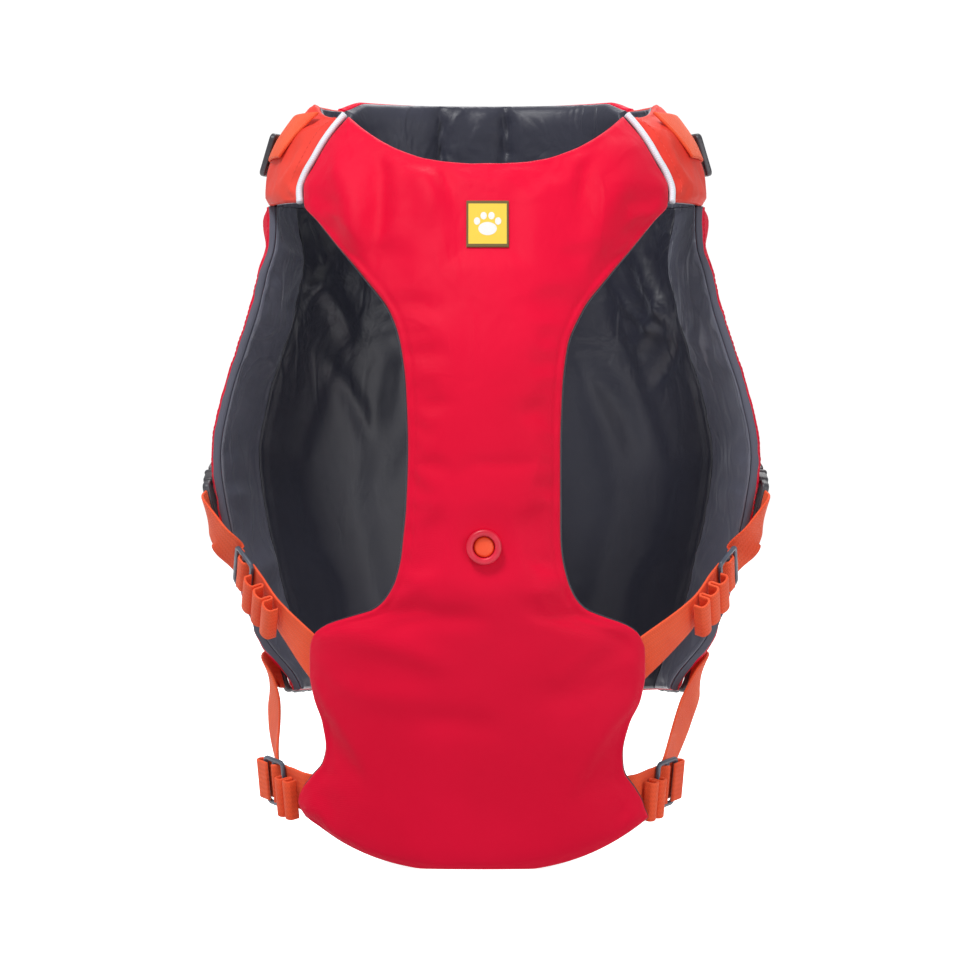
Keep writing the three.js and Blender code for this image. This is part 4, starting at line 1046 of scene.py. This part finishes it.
buckle = {"angle": 99.0, "z": -57.0, "tilt": 0.8, "thickness": 9.0, "socket": 32.0, "tongue": 20.0,
          "width": 34.0, "mouthGap": 1.2, "mouthStraight": 9.0, "clear": 0.2}
rearBuckle = {**buckle, "angle": 119.0, "z": -164.0, "tilt": 0.1}
sliderSize = {"length": 22.0, "width": 31.5, "thickness": 2.6, "bar": 3.0, "corner": 2.4, "clear": 0.4}
strapFit = {"underBelly": 1.2, "tailClear": 4.4}
buckleLift = seams["lining"] + seams["gap"] + pads["back"] + buckle["thickness"] / 2 + buckle["clear"]
strapUnder = -(seams["gap"] + webbing["thickness"] / 2 + strapFit["underBelly"])
threadRise = sliderSize["thickness"] + 2 * seams["gap"] + webbing["thickness"] + sliderSize["clear"]


def bucklePlace(side, spec):
    # on the flank's padding, with its tongue towards the belly
    angle, z = np.array(spec["angle"]), np.array(spec["z"])
    here = wrap(angle, z)
    centre = mirrored(lifted(wrap, angle, z, buckleLift + flareAt(angle, z)), side)
    ahead = mirrored(wrap(angle + 1, z + spec["tilt"]) - here, side)
    return frameOf(centre, ahead, mirrored(outward(wrap, angle, z), side))


def mouthOf(place, spec):
    # where the strap meets the tongue, a point straight before it, and the way across
    mouth = place["centre"] - place["along"] * (spec["tongue"] + spec["mouthGap"])
    before = mouth - place["along"] * spec["mouthStraight"]
    return mouth, before, place["across"] * np.sign(-place["across"][2])


def bellyEdge(side, z):
    # a strap's point under the belly's edge, and that edge's place across
    edgeX = column(bellyCut, "centreX", z) + side * column(bellyCut, "halfWidth", z)
    return lifted(belly, edgeX, z, strapUnder), edgeX


def sewnEnd(side, z, along, tuck):
    # the strap's first point inside the belly's edge, the one at the edge, and the way across
    z = np.array(float(z))
    edge, edgeX = bellyEdge(side, z)
    across = unit(np.cross(outward(belly, edgeX, z), along))
    inside = edge - along * tuck
    return lifted(belly, inside[0], inside[2], strapUnder), edge, across * np.sign(-across[2])


def threaded(path, centre, place, rise):
    # the strap rises over a slider's middle bar by a smooth step down to both slots
    offset = (path - centre) @ place["along"]
    return path + place["out"] * (rise * (1 - smoothstep(np.abs(offset), 2.2, 6.8)))[:, None]


def foldedTail(place, tail):
    # straight legs out from the strap, joined by wide half ellipses outside and tight ones inside
    keys, u = [], 0.0
    swing = np.radians(np.linspace(0, 180, 13))
    for leg in range(tail["legs"]):
        up = leg % 2 == 0
        foot = tail["height"] * 0.2 if leg == 0 else 0.0
        run = np.linspace(foot, tail["height"], 5)[:-1]
        keys += [(u, w) for w in (run if up else tail["height"] + foot - run)]
        if leg == tail["legs"] - 1:
            keys.append((u, tail["height"] if up else 0.0))
            break
        radius, rise = (tail["turn"], tail["crown"]) if up else (tail["tuck"], -tail["tuck"])
        level = tail["height"] if up else 0.0
        keys += list(zip(u + radius - radius * np.cos(swing), level + rise * np.sin(swing)))[:-1]
        u += 2 * radius
    keys = np.array(keys)
    return local(place, keys[:, 0], 0 * keys[:, 0], keys[:, 1])


def strapPiece(name, path, across, node):
    piece = carried(name, path, across, webbingProfile(), "webbing")
    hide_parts(node)


def same(vector, count):
    # one vector for every point of a path
    return np.tile(np.asarray(vector, float), (count, 1))


frontStrap = {"sewnZ": -158.0, "tuck": 13.0, "slider": (148, -137, -106),
              "faces": (0.86, -0.42, -0.28), "turn": (165.5, -131, -84), "tailStart": 14.0,
              "straight": (-46, -16, 0, 14)}
frontTail = {"legs": 6, "height": 4.5, "turn": 4.6, "crown": 2.4, "tuck": 1.3}
rearStrap = {"sewnZ": -241.0, "tuck": 10.0, "runs": (0.55, 0.82, 0.16), "slider": 31.0,
             "faces": (0.8, -0.55, -0.2), "twist": (0.3, 0.8, -0.5), "loopRadius": 2.5,
             "loopReach": 14.0, "loopStart": 4.7, "footClear": 2.6, "tailStart": 10.6,
             "tailShift": 5.0, "straight": (-15, -8, -1), "foot": 6, "footStraight": 12}
rearTail = {"legs": 4, "height": 4.2, "turn": 3.0, "crown": 2.0, "tuck": 1.3}
shoulderBuckle = {"angle": 100.0, "z": 151.0, "length": 20.0, "width": 28.0, "thickness": 4.0,
                  "corner": 4.0, "edge": 1.2}


def roundedLoop(length, width, radius, corner=7):
    # the middle line of a frame with round corners
    x, y = length / 2 - radius, width / 2 - radius
    turn = np.radians(np.linspace(0, 90, corner))
    arc = np.stack([radius * np.cos(turn), radius * np.sin(turn)], -1)
    return np.concatenate([arc + [x, y], arc[:, ::-1] * [-1, 1] + [-x, y],
                           -arc + [-x, -y], arc[:, ::-1] * [1, -1] + [x, -y]])


def ovalProfile(width, thickness, count=14):
    # an ellipse whose sine and cosine are raised to a lower power, which squares it up
    turn = np.linspace(0, 2 * np.pi, count, endpoint=False)
    square = lambda v: np.sign(v) * np.abs(v) ** 0.75
    return np.stack([square(np.cos(turn)) * width / 2, square(np.sin(turn)) * thickness / 2], -1)


def sliderPiece(name, place, node):
    # a round-cornered frame of oval section with a middle bar of the same section
    bar = sliderSize["bar"]
    loop = roundedLoop(sliderSize["length"] - bar, sliderSize["width"] - bar, sliderSize["corner"])
    ring = local(place, loop[:, 0], loop[:, 1], 0 * loop[:, 0])
    section = ovalProfile(sliderSize["thickness"], bar)
    frameBar = carried(name, ring, same(place["out"], len(ring)), section, "slider", closed=True)
    v = np.linspace(-(sliderSize["width"] - bar) / 2, (sliderSize["width"] - bar) / 2, 9)
    rod = local(place, 0 * v, v, 0 * v)
    middle = carried(name + "Bar", rod, same(place["out"], 9), section, "slider")
    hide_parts(node)
    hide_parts(node)


def moulded(name, outline, place, low, high, soft, finish):
    # an outline drawn up from low to high, its edges rounded by rings drawn in by one less the cosine
    ahead = np.roll(outline, -1, 0) - np.roll(outline, 1, 0)
    way = unit(np.stack([ahead[:, 1], -ahead[:, 0]], -1))
    turn = np.radians(np.linspace(0, 90, 5))
    inset = np.concatenate([soft * (1 - np.sin(turn)), soft * (1 - np.cos(turn))])
    level = np.concatenate([low + soft * (1 - np.cos(turn)), high - soft * (1 - np.sin(turn))])
    flat = outline[None] - way[None] * inset[:, None, None]
    points = local(place, flat[..., 0], flat[..., 1], np.broadcast_to(level[:, None], flat.shape[:2]))
    count = len(outline)
    index = np.arange(10 * count).reshape(10, count)
    index = np.concatenate([index, index[:, :1]], 1)
    caps = (index[0, :-1][::-1], index[-1, :-1])
    return makePiece(name, points.reshape(-1, 3), gridQuads(index), flat.reshape(-1, 2), finish, caps)


def drawn(corners, radius, count=6):
    # a closed outline through corners, each rounded by a quadratic curve
    corners = np.asarray(corners, float)

    def towards(other):
        reach = np.minimum(radius, 0.45 * np.linalg.norm(other - corners, axis=-1))
        return (corners + unit(other - corners) * reach[:, None])[:, None]

    start, end = towards(np.roll(corners, 1, 0)), towards(np.roll(corners, -1, 0))
    t = np.linspace(0, 1, count)[None, :, None]
    return ((1 - t) ** 2 * start + 2 * t * (1 - t) * corners[:, None] + t ** 2 * end).reshape(-1, 2)


buckleForm = {"railWidth": 5.2, "railThickness": 3.2, "tongueRailWidth": 4.8, "tongueRailThickness": 3.0,
              "socketEdge": 1.6, "tongueEdge": 1.4, "tongueThinner": 1.2, "buttonEdge": 0.9,
              "buttonThinner": 2.0, "railCorner": 1.4}


def railPiece(name, place, ends, inset, width, thickness):
    # a webbing loop of oval section, carried through keys from one side of a buckle half to the other
    foot, bend, top = ends
    corner = inset - buckleForm["railCorner"]
    keys = np.array([(foot, -inset), (bend, -inset), (top, -corner),
                     (top, corner), (bend, inset), (foot, inset)], float)
    path = throughKeys(np.c_[keys, np.zeros(6)], 40)
    return carried(name, local(place, path[:, 0], path[:, 1], path[:, 2]),
                   same(place["out"], len(path)), ovalProfile(width, thickness), "buckle")


def bucklePieces(name, place, spec, socketNode, tongueNode):
    # socket: a tapered body with a window at each side, and a webbing loop behind; tongue: a base
    # with its own loop, and two spring arms whose buttons fill the windows
    half, thick, long, back = spec["width"] / 2, spec["thickness"] / 2, spec["socket"], -spec["tongue"]
    lower = [(0.2, -half), (4.5, -half), (7, -half + 3.6), (15, -half + 4.2), (19, -half + 1.5),
             (long - 8.6, -half + 1.6)]
    body = drawn(lower + [(u, -v) for u, v in lower[::-1]], 2.2)
    shell = moulded(name + "Socket", body, place, -thick, thick, buckleForm["socketEdge"], "buckle")
    rail = railPiece(name + "SocketLoop", place, (long - 10, long - 3, long - 1.6), half - 3.2,
                     buckleForm["railWidth"], buckleForm["railThickness"])
    base = drawn([(-0.3, -half), (-0.3, half), (back * 0.45, half - 0.4), (back + 9.2, half - 1.6),
                  (back + 9.2, -half + 1.6), (back * 0.45, -half + 0.4)], 2.0)
    level = thick - buckleForm["tongueThinner"]
    head = moulded(name + "Tongue", base, place, -level, level, buckleForm["tongueEdge"], "buckle")
    tail = railPiece(name + "TongueLoop", place, (back + 10.5, back + 3, back + 1.6), half - 3,
                     buckleForm["tongueRailWidth"], buckleForm["tongueRailThickness"])
    made = [head, tail]
    level = thick - buckleForm["buttonThinner"]
    for edge in (-1, 1):
        button = drawn([(5.4, edge * (half - 3.6)), (6.6, edge * (half - 0.6)),
                        (13.4, edge * (half - 1.0)), (16.4, edge * (half - 3.9))][::edge], 1.6)
        made.append(moulded(name + ("ButtonUpper" if edge > 0 else "ButtonLower"), button, place,
                            -level, level, buckleForm["buttonEdge"], "buckle"))
    for piece in (shell, rail):
        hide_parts(socketNode)
    for piece in made:
        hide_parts(tongueNode)


for side, suffix in ((-1, "Left"), (1, "Right")):
    node = suffix.lower()
    # front strap: from under the belly's edge, over the slider and into the tongue
    place = bucklePlace(side, buckle)
    bucklePieces("frontBuckle" + suffix, place, buckle,
                 f"front_buckle_{node}_socket", f"front_buckle_{node}_tongue")
    mouth, before, mouthAcross = mouthOf(place, buckle)
    centre = mirrored(frontStrap["slider"], side)
    along = unit(centre - bellyEdge(side, np.array(frontStrap["sewnZ"]))[0])
    start, edge, sewnAcross = sewnEnd(side, frontStrap["sewnZ"], along, frontStrap["tuck"])
    slide = frameOf(centre, along, mirrored(frontStrap["faces"], side))
    strapAcross = slide["across"] * np.sign(-slide["across"][2])
    straight = [centre + slide["along"] * u for u in frontStrap["straight"]]
    keys = [start, edge, *straight, mirrored(frontStrap["turn"], side), before, mouth]
    ways = [sewnAcross] * 2 + [strapAcross] * 5 + [mouthAcross] * 2
    path = threaded(throughKeys(keys, 108), centre, slide, threadRise)
    strapPiece("frontStrap" + suffix, path, throughKeys(ways, 108), "front_strap_" + node)
    sliderPiece("frontSlider" + suffix, {**slide, "centre": centre + slide["out"] * threadRise / 2},
                "front_slider_" + node)
    tailStart = centre - slide["along"] * frontStrap["tailStart"] + slide["out"] * strapFit["tailClear"]
    tailPlace = frameOf(tailStart, -slide["along"], slide["out"])
    path = foldedTail(tailPlace, frontTail)
    strapPiece("frontTail" + suffix, path, same(tailPlace["across"], len(path)), "front_tail_" + node)

    # rear strap: a stub to the slider, a loop round its bar, and a strap that turns into the tongue
    place = bucklePlace(side, rearBuckle)
    bucklePieces("rearBuckle" + suffix, place, rearBuckle,
                 f"rear_buckle_{node}_socket", f"rear_buckle_{node}_tongue")
    mouth, before, mouthAcross = mouthOf(place, rearBuckle)
    along = unit(mirrored(rearStrap["runs"], side))
    start, edge, sewnAcross = sewnEnd(side, rearStrap["sewnZ"], along, rearStrap["tuck"])
    centre = edge + along * rearStrap["slider"]
    slide = frameOf(centre, along, mirrored(rearStrap["faces"], side))
    slideAcross = slide["across"] * np.sign(-slide["across"][2])
    spot = lambda u, w: centre + slide["along"] * u + slide["out"] * w
    keys = [start, edge, *(spot(u, 0) for u in rearStrap["straight"])]
    path = threaded(throughKeys(keys, 60), spot(0.9, 0), slide, threadRise)
    strapPiece("rearStub" + suffix, path, throughKeys([sewnAcross] * 2 + [slideAcross] * 3, 60),
               "rear_stub_" + node)
    sliderPiece("rearSlider" + suffix, {**slide, "centre": spot(0, threadRise / 2)}, "rear_slider_" + node)
    middle, radius, reach = threadRise / 2, rearStrap["loopRadius"], rearStrap["loopReach"]
    swing = np.radians(np.linspace(-90, 90, 19))
    run = np.linspace(rearStrap["loopStart"], reach, 6)
    u = np.concatenate([run[:-1], reach + radius * np.cos(swing), run[-2::-1]])
    w = np.concatenate([np.full(5, middle - radius), middle + radius * np.sin(swing),
                        np.full(5, middle + radius)])
    path = local(slide, u, 0 * u, w)
    strapPiece("rearLoop" + suffix, path, same(slideAcross, len(path)), "rear_loop_" + node)
    foot = spot(rearStrap["foot"], middle - radius - webbing["thickness"] - rearStrap["footClear"])
    keys = [foot, foot + unit(before - foot) * rearStrap["footStraight"], foot + (before - foot) * 0.6,
            before, mouth]
    ways = [slideAcross, slideAcross, mirrored(rearStrap["twist"], side), mouthAcross, mouthAcross]
    strapPiece("rearStrap" + suffix, throughKeys(keys, 72), throughKeys(ways, 72), "rear_strap_" + node)
    tailStart = (spot(-rearStrap["tailStart"], strapFit["tailClear"] - 0.2)
                 + slideAcross * rearStrap["tailShift"])
    tailPlace = frameOf(tailStart, -slide["along"], slide["out"])
    path = foldedTail(tailPlace, rearTail)
    strapPiece("rearTail" + suffix, path, same(tailPlace["across"], len(path)), "rear_tail_" + node)

    # shoulder buckle: a rounded plate on the shoulder strap
    size = shoulderBuckle
    lift = (shoulderBase + shoulderStrap["lift"] + shoulderStrap["thickness"] + seams["gap"]
            + size["thickness"] / 2)
    angle, z = np.array(size["angle"]), np.array(size["z"])
    ahead = mirrored(wrap(angle + 1, z) - wrap(angle, z), side)
    place = frameOf(mirrored(lifted(wrap, angle, z, lift), side), ahead,
                    mirrored(outward(wrap, angle, z), side))
    outline = roundedLoop(size["length"], size["width"], size["corner"])
    plate = moulded("shoulderBuckle" + suffix, outline, place, -size["thickness"] / 2,
                    size["thickness"] / 2, size["edge"], "buckle")
    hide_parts("shoulder_buckle_" + node)
print("straps and buckles made")


# Webbing runs over the back between the buckle sockets.

girth = {"start": 7.0, "lift": 0.8, "stations": 140, "over": 1.8, "overlap": 8, "bendFrom": 1,
         "meets": 0.9, "wrapAlong": 3.5, "wrapOut": 2.5, "endWidth": 21.6, "endThickness": 1.3}
for name, spec, node in (("girthWebbingFront", buckle, "girth_webbing_front"),
                         ("girthWebbingRear", rearBuckle, "girth_webbing_rear")):
    reach = (spec["socket"] + girth["start"]) / seams["perDegree"]
    angle = np.linspace(spec["angle"] + reach, 360 - spec["angle"] - reach, girth["stations"])
    z = np.full(girth["stations"], spec["z"] + spec["tilt"] * reach)
    sides = (180 - seams["seamAngle"] - np.abs(180 - angle)) * seams["perDegree"]
    ends = np.minimum(seams["shoulderZ"] - z, z - hemHeight(angle))
    pad = np.minimum(padding(pads["seam"], pads["back"], np.maximum(sides, 0)),
                     padding(pads["seam"], pads["back"], ends))
    height = shellBase + np.maximum(pad, pads["seam"]) + girth["lift"] + webbing["thickness"] / 2
    path = lifted(wrap, angle, z, height)
    band = carried(name, path, same([0.0, 0.0, 1.0], girth["stations"]), webbingProfile(), "webbing")
    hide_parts(node)

    # each end folds round the socket's rail and back over itself
    for side, end, inside in ((1, 0, 4), (-1, -1, -5)):
        place = bucklePlace(side, spec)
        rail = np.array([spec["socket"] - 1.6, 0.0])
        last, before = (np.array([(point - place["centre"]) @ place["along"],
                                  (point - place["centre"]) @ place["out"]])
                        for point in (path[end], path[inside]))
        run = unit(before - last)
        over = np.array([-run[1], run[0]]) * np.sign(run[0]) * girth["over"]
        swing = np.radians(np.linspace(70, 300, 15))
        bend = rail + np.stack([girth["wrapAlong"] * np.cos(swing), girth["wrapOut"] * np.sin(swing)], -1)
        keys = np.concatenate([[last + run * girth["overlap"] + over, last + run * girth["bendFrom"] + over],
                               bend, [last - run * girth["meets"]]])
        turned = throughKeys(np.c_[keys, 0 * keys[:, 0]], 90)
        turnPath = local(place, turned[:, 0], 0 * turned[:, 0], turned[:, 1])
        piece = carried(name + ("Right" if side > 0 else "Left"), turnPath,
                        same(place["across"], len(turnPath)),
                        webbingProfile(girth["endWidth"], girth["endThickness"]), "webbing")
        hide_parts(node)
print("girth webbing made")


# The eyelet is a ring with a domed disc inside it.
eyeletX, eyeletZ = np.array(eyelet["x"]), np.array(eyelet["z"])
out = outward(belly, eyeletX, eyeletZ)
seat = lifted(belly, eyeletX, eyeletZ, bellyPanel["base"] + pads["belly"])
place = frameOf(seat, np.array([1.0, 0, 0]), out)
turn = np.linspace(0, 2 * np.pi, eyelet["ringSteps"], endpoint=False)
ringPath = local({**place, "centre": seat + out * (eyelet["ringThickness"] + eyelet["lift"])},
                 eyelet["ringRadius"] * np.cos(turn), eyelet["ringRadius"] * np.sin(turn), 0 * turn)
section = ovalProfile(2 * eyelet["ringThickness"], 2 * eyelet["ringThickness"], 16)
ring = carried("eyeletRing", ringPath, same(out, eyelet["ringSteps"]), section, "ring", closed=True)
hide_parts("eyelet_ring")
radii, rises = np.array(eyelet["radii"]), np.array(eyelet["rises"])
spin = np.linspace(0, 2 * np.pi, eyelet["around"], endpoint=False)
u, v = radii[:, None] * np.cos(spin), radii[:, None] * np.sin(spin)
points = local({**place, "centre": seat + out * eyelet["lift"]}, u, v,
               np.broadcast_to(rises[:, None], u.shape))
index = np.arange(u.size).reshape(u.shape)
index = np.concatenate([index, index[:, :1]], 1)
disc = makePiece("eyeletDisc", points.reshape(-1, 3), gridQuads(index), np.stack([u, v], -1).reshape(-1, 2),
                 "disc", (index[0, :-1][::-1], index[-1, :-1]))
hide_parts("eyelet_disc")


def patchFinish():
    # a woven label: a pale paw, one large ellipse under four small ones, inside a thin dark border
    finish = Finish("wovenPatch", {"Sheen Weight": 0.15, "Specular IOR Level": 0.3})
    across, along = finish.threads()

    def reach(x, y, wide, tall):
        return ((across - x) / wide) ** 2.0 + ((along - y) / tall) ** 2.0

    paw = 1 - reach(0, -3.4, 5.6, 4.4).smooth(0.94, 1.06)
    for x, y in ((-6.4, 1.6), (-2.4, 5.2), (2.4, 5.2), (6.4, 1.6)):
        paw = paw.math("MAXIMUM", paw, 1 - reach(x, y, 1.9, 2.5).smooth(0.9, 1.1))
    inside = paw.math("MINIMUM", patch["width"] / 2 - abs(across), patch["height"] / 2 - abs(along))
    border = 1 - inside.smooth(patch["border"] - 0.2, patch["border"] + 0.2)
    weave = across.sine(0.55) * along.sine(0.55)
    tone = finish.mix(paw, shade(248, 208, 70), shade(240, 240, 238))
    tone = finish.mix(border, tone, shade(104, 88, 48))
    finish.colour(finish.mix((weave * 0.5 + 0.5) * 0.12, tone, shade(150, 120, 60)))
    finish.rough(0.6 + weave * 0.08)
    finish.height(weave * 0.04 + paw * 0.12)
    return finish.material


finishes["patch"] = patchFinish()
s, t = spaced(patch["width"], 2.0), spaced(patch["height"], 2.0)
x = patch["x"] + (s[None, :] - 0.5) * patch["width"] + 0 * t[:, None]
z = patch["z"] + (t[:, None] - 0.5) * patch["height"] + 0 * s[None, :]
low = bellyPanel["base"] + pads["belly"] + seams["gap"]
label = easedSheet("chestPatch", lifted(belly, x, z, low + 0 * x),
                   lifted(belly, x, z, low + patch["thickness"] + 0 * x), 0.5, "patch")
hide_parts("chest_patch")
print("eyelet and patch made")


studio = {
    "floorZ": float(cadBox[0][2]) * 1000 - 0.5, "floorHalf": 6000, "floorLines": 25, "floorGlow": 0.8,
    "sky": 0.56, "skyBehind": 1.05,
    "lights": {  # place, target, size in metres, power
        "keyLight": ((-0.8, -1.4, 2.3), (0, -0.1, 0), 0.8, 50),
        "fillLight": ((1.5, -2.1, 0.1), (0, -0.1, -0.1), 1.2, 14),
        "backLight": ((0.6, 1.8, 2.0), (0, 0, 0), 1.6, 26),
    },
}
lines = studio["floorLines"]
span = np.linspace(-studio["floorHalf"], studio["floorHalf"], lines)
points = np.stack(np.broadcast_arrays(span[None, :], span[:, None], studio["floorZ"]), -1)
floorFinish = Finish("paperFloor", {"Specular IOR Level": 0.1, "Emission Color": (1.0, 1.0, 1.0),
                                    "Emission Strength": studio["floorGlow"]})
paper = floorFinish.noise(300, 2.0) * 0.2
floorFinish.colour(floorFinish.mix(paper, shade(250, 250, 250), shade(244, 244, 246)))
floorFinish.rough(0.85 + floorFinish.noise(20) * 0.05)
floorMesh = bpy.data.meshes.new("paleFloor")
floorQuads = gridQuads(np.arange(lines * lines).reshape(lines, lines))
floorMesh.from_pydata((points.reshape(-1, 3) * 0.001).tolist(), [], floorQuads.tolist())
floorMesh.materials.append(floorFinish.material)
paleFloor = bpy.data.objects.new("paleFloor", floorMesh)
scene = bpy.context.scene
scene.collection.objects.link(paleFloor)
paleFloor.visible_diffuse = False

scene.view_settings.view_transform = "Standard"
world = bpy.data.worlds.new("studio")
scene.world = world
world.use_nodes = True
sky = world.node_tree.nodes["Background"]
sky.inputs["Color"].default_value = (1, 1, 1, 1)
# the sky is soft on the jacket and white behind it
seen = world.node_tree.nodes.new("ShaderNodeLightPath")
strength = world.node_tree.nodes.new("ShaderNodeMapRange")
strength.inputs["To Min"].default_value = studio["sky"]
strength.inputs["To Max"].default_value = studio["skyBehind"]
world.node_tree.links.new(seen.outputs["Is Camera Ray"], strength.inputs["Value"])
world.node_tree.links.new(strength.outputs["Result"], sky.inputs["Strength"])

for name, (place, target, size, power) in studio["lights"].items():
    lamp = bpy.data.lights.new(name, "AREA")
    lamp.shape, lamp.size, lamp.energy = "SQUARE", size, power
    light = bpy.data.objects.new(name, lamp)
    scene.collection.objects.link(light)
    light.location = place
    light.rotation_mode = "QUATERNION"
    light.rotation_quaternion = Vector(np.subtract(target, place)).to_track_quat("-Z", "Y")
print("floor and lights made")

view = {"target": (-0.0005, -0.115, -0.053), "distance": 3.2, "elevation": 1.2, "width": 0.606,
        "sensor": 36}
tilt = np.radians(view["elevation"])
eye = np.array(view["target"]) + view["distance"] * np.array([0, -np.cos(tilt), np.sin(tilt)])
lens = bpy.data.cameras.new("camera")
lens.sensor_width = view["sensor"]
lens.lens = view["sensor"] * view["distance"] / view["width"]
camera = bpy.data.objects.new("camera", lens)
scene.collection.objects.link(camera)
camera.location = eye
camera.rotation_euler = (np.pi / 2 - tilt, 0, 0)
scene.camera = camera
